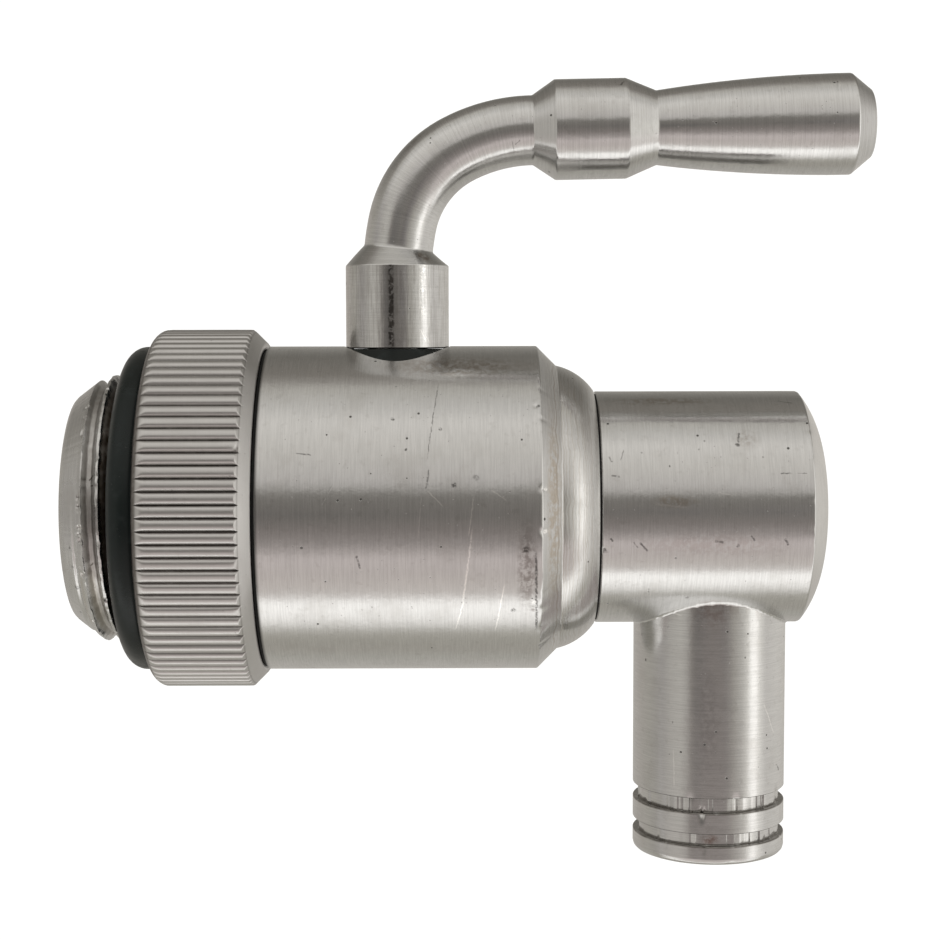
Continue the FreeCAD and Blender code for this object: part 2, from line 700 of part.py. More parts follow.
skirt_under = doc.addObject("Part::Cylinder", "skirt_under")
skirt_under.Placement = Placement(Vector(0, 0, 0), Rotation(Vector(0, 1, 0), 90))
skirt_under.setExpression("Radius", "Dims.body_radius + 0.01")
skirt_under.setExpression("Height", "Dims.hub_x * 2")
skirt_shell = doc.addObject("Part::Cut", "skirt_shell")
skirt_shell.Base = skirt_cone
skirt_shell.Tool = skirt_under
skirt_eye = doc.addObject("Part::Cylinder", "skirt_eye")
skirt_eye.Placement = Placement(Vector(D.hub_x.n, 0, 0), Rotation())
skirt_eye.setExpression("Placement.Base.x", "Dims.hub_x")
skirt_eye.setExpression("Radius", "Dims.stem_radius + 0.08")
skirt_eye.setExpression("Height", "Dims.seal_top * 2")
skirt = doc.addObject("Part::Cut", "skirt")
skirt.Base = skirt_shell
skirt.Tool = skirt_eye
hub_seal = doc.addObject("Part::Fuse", "stem_seal")
hub_seal.Label = "stem_seal"
hub_seal.Base = seal_ring
hub_seal.Tool = skirt
hub_seal.Refine = True
keep(hub_seal)

# --------------------------------------------------------------------- lever
# Turned from one bar, then bent: hub, cone, rod, and a grip with a barrel,
# a neck, a long flare, an end band and an end chamfer.
lever = keep(new_body("lever_handle"))
lever.Placement = Placement(Vector(D.hub_x.n, 0, 0), Rotation())
lever.setExpression("Placement.Base.x", "Dims.hub_x")
bore = D.stem_radius + 0.02
revolve(lever, "hub_turning", "XZ_Plane", [
    (bore, D.hub_bottom),
    (D.hub_radius - 0.12, D.hub_bottom),
    (D.hub_radius, D.hub_bottom + 0.12),
    (D.hub_radius, D.hub_top),
    (D.rod_radius - 0.29, D.hub_top + D.hub_radius - D.rod_radius + 0.29),
    (0.0, D.hub_top + D.hub_radius - D.rod_radius + 0.29),
    (0.0, D.stem_top + 0.9),
    (bore, D.stem_top + 0.1),
], "V_Axis")


def turned(point, heading, radius, angle):
    """The end of an arc that turns clockwise from the heading."""
    after = heading - angle
    x = point[0] + radius * (math.sin(heading) - math.sin(after))
    z = point[1] + radius * (math.cos(after) - math.cos(heading))
    return (x, z), after


# Bend path, worked out from the sheet's radii and angles. The heading turns
# clockwise, from straight up to about one degree above level.
path_points = [(0.0, D.bend_start.n)]
heading = math.pi / 2
headings = [heading]
for radius, angle in ((D.bend_radius_1, D.bend_angle_1),
                      (D.bend_radius_2, D.bend_angle_2),
                      (D.bend_radius_3, D.bend_angle_3)):
    a = math.radians(angle.n)
    end, new_heading = turned(path_points[-1], heading, radius.n, a)
    path_points.append(end)
    heading = new_heading
    headings.append(heading)
path_sketch = new_sketch(lever, "bend_path", "XZ_Plane")
arcs = []
for i, radius in enumerate((D.bend_radius_1, D.bend_radius_2, D.bend_radius_3)):
    a, b = path_points[i], path_points[i + 1]
    ha = headings[i]
    centre = Vector(a[0] + radius.n * math.sin(ha), a[1] - radius.n * math.cos(ha), 0)
    ang_a = math.atan2(a[1] - centre.y, a[0] - centre.x)
    ang_b = math.atan2(b[1] - centre.y, b[0] - centre.x)
    while ang_a < ang_b:
        ang_a += 2 * math.pi
    geo = path_sketch.addGeometry(Part.ArcOfCircle(
        Part.Circle(centre, Vector(0, 0, 1), radius.n), ang_b, ang_a), False)
    arcs.append(geo)
# The arcs run from their second end (start of the bend) to their first.
for i, radius in enumerate((D.bend_radius_1, D.bend_radius_2, D.bend_radius_3)):
    index = path_sketch.addConstraint(Sketcher.Constraint("Radius", arcs[i], radius.n))
    path_sketch.setExpression("Constraints[%d]" % index, radius.s)
place_point(path_sketch, arcs[0], 2, q(0.0), D.bend_start)
path_sketch.addConstraint(Sketcher.Constraint("Tangent", arcs[0], 1, arcs[1], 2))
path_sketch.addConstraint(Sketcher.Constraint("Tangent", arcs[1], 1, arcs[2], 2))
rod_sketch = new_sketch(
    lever, "rod_circle", "XY_Plane",
    Placement(Vector(0, 0, D.bend_start.n), Rotation()),
    {"Base.z": D.bend_start.s})
circle_sketch(rod_sketch, 0.0, 0.0, D.rod_radius)
doc.recompute()
rod = lever.newObject("PartDesign::AdditivePipe", "rod")
rod.Profile = rod_sketch
rod.Spine = (path_sketch, [])
doc.recompute()

grip_sketch = new_sketch(
    lever, "grip_profile", "XZ_Plane",
    Placement(Vector(path_points[-1][0], path_points[-1][1], 0),
              Rotation(Vector(0, 0, 1), math.degrees(heading))))
grip_x = [q(0.0)]
for step in (D.grip_cone_1, D.grip_barrel_length, D.grip_cone_2,
             D.grip_flare_length, D.grip_band_length, D.grip_chamfer_length):
    grip_x.append(grip_x[-1] + step)
profile(grip_sketch, [
    (0.0, 0.0),
    (0.0, D.rod_radius),
    (grip_x[1], D.grip_barrel_radius),
    (grip_x[2], D.grip_barrel_radius),
    (grip_x[3], D.grip_neck_radius, q(140.0), -1),
    (grip_x[4], D.grip_end_radius),
    (grip_x[5], D.grip_end_radius),
    (grip_x[6], D.grip_face_radius),
    (grip_x[6], 0.0),
])
grip = lever.newObject("PartDesign::Revolution", "grip_turning")
grip.Profile = grip_sketch
grip.ReferenceAxis = (grip_sketch, ["H_Axis"])
grip.Angle = 360.0
doc.recompute()
# Tapped hole for the set screw, through the back wall of the hub.
grub_sketch = new_sketch(lever, "set_screw_circle", "XZ_Plane")
circle_sketch(grub_sketch, 0.0, D.grub_height, D.grub_radius + 0.02)
before = lever.Shape.Volume
grub_hole = lever.newObject("PartDesign::Pocket", "set_screw_hole")
grub_hole.Profile = grub_sketch
grub_hole.Type = "Length"
grub_hole.Length = 8.0
grub_hole.Reversed = False
doc.recompute()
if not grub_hole.Shape.Volume < before - 2.0:
    raise RuntimeError("the set screw hole cuts nothing")
if lever.Shape.isInside(Vector(D.hub_x.n, 4.0, D.grub_height.n), 0.001, True):
    grub_hole.Reversed = True
    doc.recompute()
if lever.Shape.isInside(Vector(D.hub_x.n, 4.0, D.grub_height.n), 0.001, True):
    raise RuntimeError("the set screw hole is not at the back")

# Set screw with a hexagon socket.
grub = keep(new_body("lever_set_screw"))
grub.Placement = Placement(Vector(D.hub_x.n, 0, D.grub_height.n),
                           Rotation(Vector(1, 0, 0), -90))
grub.setExpression("Placement.Base.x", "Dims.hub_x")
grub.setExpression("Placement.Base.z", "Dims.grub_height")
screw_circle = new_sketch(
    grub, "screw_circle", "XY_Plane",
    Placement(Vector(0, 0, D.stem_radius.n - 0.48), Rotation()),
    {"Base.z": (D.stem_radius - 0.48).s})
circle_sketch(screw_circle, 0.0, 0.0, D.grub_radius)
screw_pad = grub.newObject("PartDesign::Pad", "screw_blank")
screw_pad.Profile = screw_circle
screw_pad.Type = "Length"
screw_pad.Length = 2.2
doc.recompute()
hex_sketch = new_sketch(
    grub, "hex_profile", "XY_Plane",
    Placement(Vector(0, 0, D.stem_radius.n + 2.0), Rotation()),
    {"Base.z": (D.stem_radius + 2.0).s})
hex_radius = 0.72
profile(hex_sketch, [(hex_radius * math.cos(math.radians(60 * i + 30)),
                      hex_radius * math.sin(math.radians(60 * i + 30)))
                     for i in range(6)])
before = grub.Shape.Volume
hex_cut = grub.newObject("PartDesign::Pocket", "hexagon_socket")
hex_cut.Profile = hex_sketch
hex_cut.Type = "Length"
hex_cut.Length = 1.4
doc.recompute()
if not hex_cut.Shape.Volume < before - 0.3:
    raise RuntimeError("the hexagon socket cuts nothing")

# --------------------------------------------------------------------- spout
elbow = keep(new_body("spout_elbow"))
revolve(elbow, "elbow_turning", "XY_Plane", [
    (D.spigot_start_x, D.flow_radius),
    (D.spigot_start_x, D.spigot_radius - 0.3),
    (D.spigot_start_x + 0.3, D.spigot_radius),
    (D.spigot_groove_x, D.spigot_radius),
    (D.spigot_groove_x, D.spigot_groove_radius),
    (D.spigot_groove_x + D.spigot_groove_width, D.spigot_groove_radius),
    (D.spigot_groove_x + D.spigot_groove_width, D.spigot_radius),
    (D.spout_start_x, D.spigot_radius),
    (D.spout_start_x, D.spout_radius - 0.1),
    (D.spout_start_x + 0.1, D.spout_radius),
    (D.spout_edge_x, D.spout_radius, D.dome_round, -1),
    (D.dome_mid_x, D.dome_mid_radius, D.dome_radius, -1),
    (D.dome_apex_x, 0.0),
    (D.outlet_x + D.flow_radius + 2.6, 0.0),
    (D.outlet_x + D.flow_radius - 0.4, D.flow_radius),
], "H_Axis")
round_pocket(elbow, "outlet_socket", D.outlet_x, D.elbow_socket_top,
             D.elbow_socket_radius, 8.0, False)
round_pocket(elbow, "outlet_passage", D.outlet_x, 0.0, D.flow_radius, 8.0, False)

spigot_section = (D.socket_radius - D.spigot_groove_radius) / 2
o_ring("spout_oring", D.spigot_groove_x + D.spigot_groove_width / 2,
       D.spigot_groove_radius + spigot_section, spigot_section)
# Thin black gasket in the seam between the nose and the elbow.
keep(ring_cut("spout_gasket", D.nose_end_x, D.spout_start_x - D.nose_end_x,
              D.spout_radius - 0.25, D.spigot_radius + 0.05))

# --------------------------------------------------------------- outlet tube
tube = keep(new_body("outlet_tube"))
tube.Placement = Placement(Vector(D.outlet_x.n, 0, 0), Rotation())
tube.setExpression("Placement.Base.x", "Dims.outlet_x")
revolve(tube, "tube_turning", "XZ_Plane", [
    (D.tube_bore, D.tube_top),
    (D.tube_radius - 0.3, D.tube_top),
    (D.tube_radius, D.tube_top - 0.3),
    (D.tube_radius, D.groove_1_top),
    (D.tube_groove_radius, D.groove_1_top),
    (D.tube_groove_radius, D.groove_1_bottom),
    (D.tube_radius, D.groove_1_bottom),
    (D.tube_radius, D.groove_2_top),
    (D.tube_groove_radius, D.groove_2_top),
    (D.tube_groove_radius, D.groove_2_bottom),
    (D.tube_radius, D.groove_2_bottom),
    (D.tube_radius, D.tube_bottom + D.tube_chamfer),
    (D.tube_radius - D.tube_chamfer, D.tube_bottom),
    (D.tube_bore + 0.3, D.tube_bottom),
    (D.tube_bore, D.tube_bottom + 0.3),
], "V_Axis")

doc.recompute()

# ------------------------------------------------------------------- writing
bad = []
for obj in doc.Objects:
    if "Invalid" in obj.State or "Error" in obj.State:
        bad.append("%s %s" % (obj.Name, obj.State))
for obj in NODES:
    shape = obj.Shape
    if shape.isNull() or not shape.isValid():
        bad.append(obj.Label + " has no valid shape")
    elif len(shape.Solids) != 1:
        bad.append("%s has %d solids" % (obj.Label, len(shape.Solids)))
if bad:
    raise RuntimeError("; ".join(bad))

os.makedirs("parts", exist_ok=True)
for obj in NODES:
    obj.Shape.exportStep("parts/%s.step" % obj.Label)
    box = obj.Shape.BoundBox
    print("%-24s x %7.2f %7.2f  y %7.2f %7.2f  z %7.2f %7.2f  vol %9.2f" % (
        obj.Label, box.XMin, box.XMax, box.YMin, box.YMax, box.ZMin, box.ZMax,
        obj.Shape.Volume))
print("nodes", len(NODES))
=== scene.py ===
import bpy
import bmesh
import math
import numpy as np
from mathutils import Matrix, Vector


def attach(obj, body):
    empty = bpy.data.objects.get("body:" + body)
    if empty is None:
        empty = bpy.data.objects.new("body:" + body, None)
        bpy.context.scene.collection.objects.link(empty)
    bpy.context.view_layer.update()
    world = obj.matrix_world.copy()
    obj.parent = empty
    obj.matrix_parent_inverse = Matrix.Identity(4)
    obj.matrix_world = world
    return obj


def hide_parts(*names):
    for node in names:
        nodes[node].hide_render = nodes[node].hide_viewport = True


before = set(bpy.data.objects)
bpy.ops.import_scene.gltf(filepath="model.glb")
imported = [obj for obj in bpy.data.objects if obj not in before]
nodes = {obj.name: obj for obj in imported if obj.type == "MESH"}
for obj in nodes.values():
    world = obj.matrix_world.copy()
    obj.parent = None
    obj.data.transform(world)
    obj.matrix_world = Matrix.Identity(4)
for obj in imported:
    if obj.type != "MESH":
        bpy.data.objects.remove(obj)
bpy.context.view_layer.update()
HUB_X = 30.2
OUT_X = 61.27
rng = np.random.default_rng(7)

# ------------------------------------------------------------------ view
scene = bpy.context.scene
scene.view_settings.view_transform = "Standard"
scene.view_settings.look = "None"
cam_data = bpy.data.cameras.new("camera")
cam = bpy.data.objects.new("camera", cam_data)
scene.collection.objects.link(cam)
cam_data.sensor_width = 36.0
cam_data.lens = 70.126
cam_data.clip_start = 0.01
cam_data.clip_end = 20.0
turn = (Matrix.Rotation(-0.0032, 3, "Z") @ Matrix.Rotation(-0.0730, 3, "X")
        @ Matrix.Rotation(0.0022, 3, "Y"))
right, ahead, up = turn.col[0], turn.col[1], turn.col[2]
cam.matrix_world = Matrix((
    (right.x, up.x, -ahead.x, 0.036765),
    (right.y, up.y, -ahead.y, -0.18189),
    (right.z, up.z, -ahead.z, 0.016986),
    (0, 0, 0, 1)))
scene.camera = cam


# ------------------------------------------------------------- node building
class Tree:
    """Short names for building a node tree."""

    def __init__(self, tree):
        self.t = tree

    def new(self, kind, **props):
        node = self.t.nodes.new(kind)
        for key, value in props.items():
            setattr(node, key, value)
        return node

    def put(self, socket, value):
        if value is None:
            return
        if isinstance(value, bpy.types.NodeSocket):
            self.t.links.new(value, socket)
        else:
            socket.default_value = value

    def m(self, op, a, b=None, c=None, clamp=False):
        node = self.new("ShaderNodeMath", operation=op, use_clamp=clamp)
        for i, value in enumerate((a, b, c)):
            self.put(node.inputs[i], value)
        return node.outputs[0]

    def v(self, op, a, b=None, scale=None):
        node = self.new("ShaderNodeVectorMath", operation=op)
        self.put(node.inputs[0], a)
        self.put(node.inputs[1], b)
        if scale is not None:
            self.put(node.inputs["Scale"], scale)
        return node.outputs["Value"] if op in ("LENGTH", "DOT_PRODUCT", "DISTANCE") else node.outputs[0]

    def xyz(self, x=0.0, y=0.0, z=0.0):
        node = self.new("ShaderNodeCombineXYZ")
        for i, value in enumerate((x, y, z)):
            self.put(node.inputs[i], value)
        return node.outputs[0]

    def split(self, vec):
        node = self.new("ShaderNodeSeparateXYZ")
        self.put(node.inputs[0], vec)
        return node.outputs[0], node.outputs[1], node.outputs[2]

    def noise(self, vec, scale=1.0, detail=2.0, rough=0.5, dist=0.0):
        node = self.new("ShaderNodeTexNoise")
        self.put(node.inputs["Vector"], vec)
        self.put(node.inputs["Scale"], scale)
        self.put(node.inputs["Detail"], detail)
        self.put(node.inputs["Roughness"], rough)
        self.put(node.inputs["Distortion"], dist)
        return node.outputs[0]

    def cells(self, vec, scale=1.0, feature="F1", rand=1.0):
        node = self.new("ShaderNodeTexVoronoi", feature=feature)
        self.put(node.inputs["Vector"], vec)
        self.put(node.inputs["Scale"], scale)
        self.put(node.inputs["Randomness"], rand)
        return node.outputs["Distance"], node.outputs["Color"]

    def band(self, value, a, b, lo=0.0, hi=1.0, smooth=True):
        """Maps value from a..b to lo..hi, clamped."""
        node = self.new("ShaderNodeMapRange",
                        interpolation_type="SMOOTHSTEP" if smooth else "LINEAR")
        for i, number in enumerate((value, a, b, lo, hi)):
            self.put(node.inputs[i], number)
        return node.outputs[0]

    def mix(self, fac, a, b, blend="MIX"):
        node = self.new("ShaderNodeMix", data_type="RGBA", blend_type=blend)
        self.put(node.inputs[0], fac)
        self.put(node.inputs[6], a)
        self.put(node.inputs[7], b)
        return node.outputs[2]

    def ramp(self, fac, stops):
        node = self.new("ShaderNodeValToRGB")
        self.put(node.inputs[0], fac)
        elements = node.color_ramp.elements
        while len(elements) > 1:
            elements.remove(elements[-1])
        elements[0].position = stops[0][0]
        elements[0].color = stops[0][1]
        for pos, colour in stops[1:]:
            elements.new(pos).color = colour
        return node.outputs[0]

    def add(self, *values):
        total = values[0]
        for value in values[1:]:
            total = self.m("ADD", total, value)
        return total

    def top(self, *values):
        total = values[0]
        for value in values[1:]:
            total = self.m("MAXIMUM", total, value)
        return total

    def line(self, p, a, b, width, taper=True):
        """Mask of a thin line from a to b on the flat coordinates p, in mm."""
        ax, ay = a
        bx, by = b
        length2 = (bx - ax) ** 2 + (by - ay) ** 2
        rel = self.v("SUBTRACT", p, (ax, ay, 0.0))
        share = self.m("DIVIDE", self.v("DOT_PRODUCT", rel, (bx - ax, by - ay, 0.0)),
                       length2, clamp=True)
        near = self.v("SCALE", self.xyz(bx - ax, by - ay, 0.0), scale=share)
        dist = self.v("DISTANCE", rel, near)
        mask = self.band(dist, width * 0.25, width, 1.0, 0.0)
        if taper:
            fade = self.m("MULTIPLY", share, self.m("SUBTRACT", 1.0, share))
            mask = self.m("MULTIPLY", mask, self.band(fade, 0.0, 0.12))
        return mask

    def spot(self, p, at, size):
        dist = self.v("DISTANCE", p, (at[0], at[1], 0.0))
        return self.band(dist, size * 0.35, size, 1.0, 0.0)


class Material(Tree):
    def __init__(self, name):
        self.mat = bpy.data.materials.new(name)
        self.mat.use_nodes = True
        super().__init__(self.mat.node_tree)
        self.t.nodes.clear()
        self.out = self.new("ShaderNodeOutputMaterial")
        self.bsdf = self.new("ShaderNodeBsdfPrincipled")
        self.t.links.new(self.bsdf.outputs[0], self.out.inputs[0])
        coords = self.new("ShaderNodeTexCoord")
        self.mm = self.v("SCALE", coords.outputs["Object"], scale=1000.0)

    def set(self, name, value):
        self.put(self.bsdf.inputs[name], value)

    def bump(self, height, distance=1e-5, strength=1.0, under=None):
        node = self.new("ShaderNodeBump")
        self.put(node.inputs["Strength"], strength)
        self.put(node.inputs["Distance"], distance)
        self.put(node.inputs["Height"], height)
        if under is not None:
            self.put(node.inputs["Normal"], under)
        return node.outputs[0]


def grey(v, a=1.0):
    return (v, v, v, a)


# ---------------------------------------------------------------- materials
STEEL = (0.645, 0.645, 0.640, 1.0)
DIRT = (0.10, 0.075, 0.05, 1.0)
DARK = (0.045, 0.042, 0.038, 1.0)


def steel(name, axis="X", radius=16.0, centre_x=0.0, rough=0.165, brush=1.0,
          mottle=1.0, aniso=0.6, pits=1.0, marks=(), stains=(), tint=None,
          extra=None, base=STEEL):
    """Turned steel: fine rings round the axis, handling marks, small pits, painted highlights.
    marks: (kind, a, b, width, strength) in mm along the axis and round it; a light mark is a scratch painted
    near white as a highlight, a glint is a painted highlight."""
    M = Material(name)
    x, y, z = M.split(M.mm)
    if axis == "X":
        along = x
        angle = M.m("ARCTAN2", z, M.m("MULTIPLY", y, -1.0))
        rings = M.xyz(M.m("MULTIPLY", x, 8.0), M.m("MULTIPLY", y, 0.35),
                      M.m("MULTIPLY", z, 0.35))
        coarse = M.xyz(M.m("MULTIPLY", x, 2.2), M.m("MULTIPLY", y, 0.12),
                       M.m("MULTIPLY", z, 0.12))
    elif axis == "Z":
        along = z
        angle = M.m("ARCTAN2", M.m("SUBTRACT", x, centre_x), M.m("MULTIPLY", y, -1.0))
        rings = M.xyz(M.m("MULTIPLY", x, 0.35), M.m("MULTIPLY", y, 0.35),
                      M.m("MULTIPLY", z, 8.0))
        coarse = M.xyz(M.m("MULTIPLY", x, 0.12), M.m("MULTIPLY", y, 0.12),
                       M.m("MULTIPLY", z, 2.2))
    else:
        uv = M.new("ShaderNodeUVMap", uv_map="flow")
        u, w, _ = M.split(uv.outputs[0])
        along = M.m("MULTIPLY", u, 100.0)
        angle = M.m("MULTIPLY", M.m("SUBTRACT", w, 0.25), 2 * math.pi)
        rings = M.xyz(M.m("MULTIPLY", along, 8.0), M.m("MULTIPLY", y, 0.5),
                      M.m("MULTIPLY", M.m("ADD", x, z), 0.1))
        coarse = M.xyz(M.m("MULTIPLY", along, 2.2), M.m("MULTIPLY", y, 0.2), 0.0)
    arc = M.m("MULTIPLY", angle, radius)
    flat = M.xyz(along, arc, 0.0)
    wobble = M.new("ShaderNodeTexNoise")
    M.put(wobble.inputs["Vector"], M.mm)
    M.put(wobble.inputs["Scale"], 2.5)
    M.put(wobble.inputs["Detail"], 2.0)
    flat = M.v("ADD", flat, M.v("SCALE", M.v("SUBTRACT", wobble.outputs["Color"],
                                              (0.5, 0.5, 0.5)), scale=0.22))
    fine = M.noise(rings, 1.0, 3.0, 0.6)
    wide = M.noise(coarse, 1.0, 2.0, 0.5)
    grain = M.noise(M.mm, 5.5, 3.0, 0.6)
    soft = M.noise(M.mm, 1.3, 3.0, 0.55)
    patch = M.noise(M.mm, 0.28, 3.0, 0.6)
    # sparse pits
    dist, cell = M.cells(M.mm, 0.95)
    cr, cg, cb = M.split(cell)
    size = M.band(cg, 0.0, 1.0, 0.05, 0.13, smooth=False)
    pit = M.m("MULTIPLY", M.band(M.m("SUBTRACT", dist, size), -0.02, 0.02, 1.0, 0.0),
              M.band(cr, 0.80, 0.82))
    dist2, cell2 = M.cells(M.mm, 2.6)
    c2r, c2g, c2b = M.split(cell2)
    pit2 = M.m("MULTIPLY", M.band(dist2, 0.06, 0.14, 1.0, 0.0), M.band(c2r, 0.86, 0.88))
    pit = M.m("MULTIPLY", M.top(pit, M.m("MULTIPLY", pit2, 0.7)), pits)
    # fine random handling scratches, in two slants round the axis
    hair = []
    for slope, seed in ((0.25, 3.1), (-0.6, 11.7)):
        lean = M.xyz(M.m("MULTIPLY", M.m("ADD", along, M.m("MULTIPLY", arc, slope)), 3.2),
                     M.m("MULTIPLY", arc, 0.16), seed)
        hair.append(M.band(M.noise(lean, 1.0, 2.0, 0.6), 0.70, 0.76))
    hair = M.m("MULTIPLY", M.top(*hair), M.band(soft, 0.45, 0.6))
    light = dark = None
    for kind, a, b, width, strength in marks:
        if kind in ("light", "dark"):
            mask = M.line(flat, (a[0], math.radians(a[1]) * radius),
                          (b[0], math.radians(b[1]) * radius), width)
        else:
            mask = M.spot(flat, (a[0], math.radians(a[1]) * radius), width)
        if kind in ("light", "glint"):
            light = M.m("MULTIPLY", mask, strength) if light is None else M.m("MAXIMUM", light, M.m("MULTIPLY", mask, strength))
        else:
            dark = M.m("MULTIPLY", mask, strength) if dark is None else M.m("MAXIMUM", dark, M.m("MULTIPLY", mask, strength))
    if light is not None:
        light = M.m("MULTIPLY", light, M.band(grain, 0.30, 0.5))
    if dark is not None:
        dark = M.m("MULTIPLY", dark, M.band(grain, 0.36, 0.52))

    colour = M.mix(M.band(fine, 0.3, 0.7), [c * 0.93 for c in base[:3]] + [1],
                   [min(1, c * 1.05) for c in base[:3]] + [1])
    colour = M.mix(M.m("MULTIPLY", M.band(patch, 0.50, 0.75), 0.35), colour,
                   tint or (0.52, 0.51, 0.49, 1.0))
    colour = M.mix(M.m("MULTIPLY", M.band(soft, 0.58, 0.72), 0.22), colour, (0.42, 0.41, 0.395, 1.0))
    colour = M.mix(M.m("MULTIPLY", pit, 0.8), colour, DARK)
    for a, size_a, size_b, tone, strength in stains:
        off = M.v("SUBTRACT", flat, (a[0], math.radians(a[1]) * radius, 0.0))
        ox, oy, _ = M.split(off)
        far = M.v("LENGTH", M.xyz(M.m("DIVIDE", ox, size_a), M.m("DIVIDE", oy, size_b), 0.0))
        mask = M.m("MULTIPLY", M.band(far, 0.2, 1.0, 1.0, 0.0),
                   M.band(M.noise(M.mm, 1.9, 3.0, 0.65), 0.34, 0.62))
        colour = M.mix(M.m("MULTIPLY", mask, strength), colour, tone)
    if dark is not None:
        colour = M.mix(dark, colour, DARK)
    # painted highlights: light and glint marks are mixed towards near white
    if light is not None:
        colour = M.mix(light, colour, (0.93, 0.92, 0.90, 1.0))
    height = M.add(
        M.m("MULTIPLY", fine, 0.16 * brush), M.m("MULTIPLY", wide, 0.22 * brush),
        M.m("MULTIPLY", grain, 0.20 * mottle), M.m("MULTIPLY", soft, 0.9 * mottle),
        M.m("MULTIPLY", pit, -1.4), M.m("MULTIPLY", hair, -0.35))
    ctx = dict(M=M, x=x, y=y, z=z, along=along, angle=angle, arc=arc, flat=flat,
               fine=fine, grain=grain, soft=soft, patch=patch, colour=colour, height=height)
    roughness = M.add(rough, M.m("MULTIPLY", M.m("SUBTRACT", grain, 0.5), 0.10),
                      M.m("MULTIPLY", M.band(patch, 0.4, 0.7), 0.07),
                      M.m("MULTIPLY", pit, 0.3))
    ctx["rough"] = roughness
    if extra is not None:
        extra(ctx)
    M.set("Base Color", ctx["colour"])
    M.set("Metallic", ctx.get("metallic", 1.0))
    M.set("Roughness", ctx["rough"])
    M.set("Anisotropic", aniso)
    if axis in ("X", "Z"):
        tangent = M.new("ShaderNodeTangent", direction_type="RADIAL", axis=axis)
        M.set("Anisotropic Rotation", 0.25)
    else:
        tangent = M.new("ShaderNodeTangent", direction_type="UV_MAP", uv_map="flow")
    M.set("Tangent", tangent.outputs[0])
    M.set("Normal", M.bump(ctx["height"], 1e-5))
    return M.mat


# light entries are scratches painted near white as highlights; glint entries are painted highlights on the
# shoulder nicks
BODY_MARKS = [
    ("light", (33.40, 10.7), (34.85, 5.3), 0.09, 0.75),
    ("light", (39.16, 10.9), (40.70, 7.2), 0.09, 0.70),
    ("light", (37.65, 9.1), (37.15, -4.8), 0.10, 0.75),
    ("light", (37.55, -0.5), (36.55, -29.6), 0.13, 1.0),
    ("light", (36.70, -27.0), (35.88, -41.0), 0.10, 0.9),
    ("light", (32.88, 9.4), (32.55, -5.0), 0.07, 0.55),
    ("light", (40.46, -20.5), (39.60, -42.0), 0.10, 0.85),
    ("dark", (34.42, 52.5), (33.35, 20.1), 0.09, 0.55),
    ("dark", (33.57, 18.2), (33.25, 10.7), 0.12, 0.6),
    ("dark", (43.3, -8.0), (43.5, -42.0), 0.18, 0.75),
    ("dark", (26.9, -10.5), (27.25, -15.6), 0.16, 0.7),
    ("dark", (21.3, 23.4), (22.9, 22.6), 0.10, 0.65),
    ("pit", (30.17, 35.8), None, 0.24, 0.85), ("pit", (31.44, 24.4), None, 0.17, 0.8),
    ("pit", (35.83, 12.4), None, 0.34, 0.75), ("pit", (37.87, 15.0), None, 0.42, 0.45),
    ("pit", (34.59, 31.9), None, 0.22, 0.85), ("pit", (43.65, 41.0), None, 0.28, 0.8),
    ("pit", (41.3, -31.5), None, 0.35, 0.65), ("pit", (42.38, -8.8), None, 0.42, 0.75),
    ("glint", (44.2, 11.2), None, 0.22, 1.0), ("glint", (44.15, -2.9), None, 0.30, 1.0),
    ("glint", (43.2, -28.0), None, 0.30, 0.8),
]
BODY_STAINS = [
    ((36.0, 62.0), 9.0, 2.8, (0.36, 0.32, 0.28, 1.0), 0.75),
    ((45.0, 4.0), 0.9, 14.0, (0.46, 0.39, 0.30, 1.0), 0.65),
    ((42.5, -16.0), 1.3, 6.0, (0.20, 0.17, 0.155, 1.0), 0.65),
]


def body_extra(c):
    M = c["M"]
    # the nose keeps turning lines, with wavy darker arcs
    nose = M.band(c["x"], 44.2, 45.2)
    wavy = M.m("ADD", M.m("MULTIPLY", c["x"], 6.0),
               M.m("MULTIPLY", M.noise(c["M"].mm, 0.45, 2.0, 0.5), 5.0))
    lines = M.noise(M.xyz(wavy, 0.0, 0.0), 1.0, 3.0, 0.7)
    mask = M.m("MULTIPLY", nose, M.band(lines, 0.46, 0.64))
    c["colour"] = M.mix(M.m("MULTIPLY", mask, 0.55), c["colour"], (0.36, 0.31, 0.25, 1.0))
    c["height"] = M.m("ADD", c["height"], M.m("MULTIPLY", M.m("MULTIPLY", nose, lines), 1.3))
    # a narrow darker band on the body beside the seam with the collar
    seam = M.band(c["x"], 17.6, 17.95, 1.0, 0.0)
    c["colour"] = M.mix(M.m("MULTIPLY", seam, 0.75), c["colour"], DARK)


steel_body = steel("steel_body", marks=BODY_MARKS, stains=BODY_STAINS, extra=body_extra)
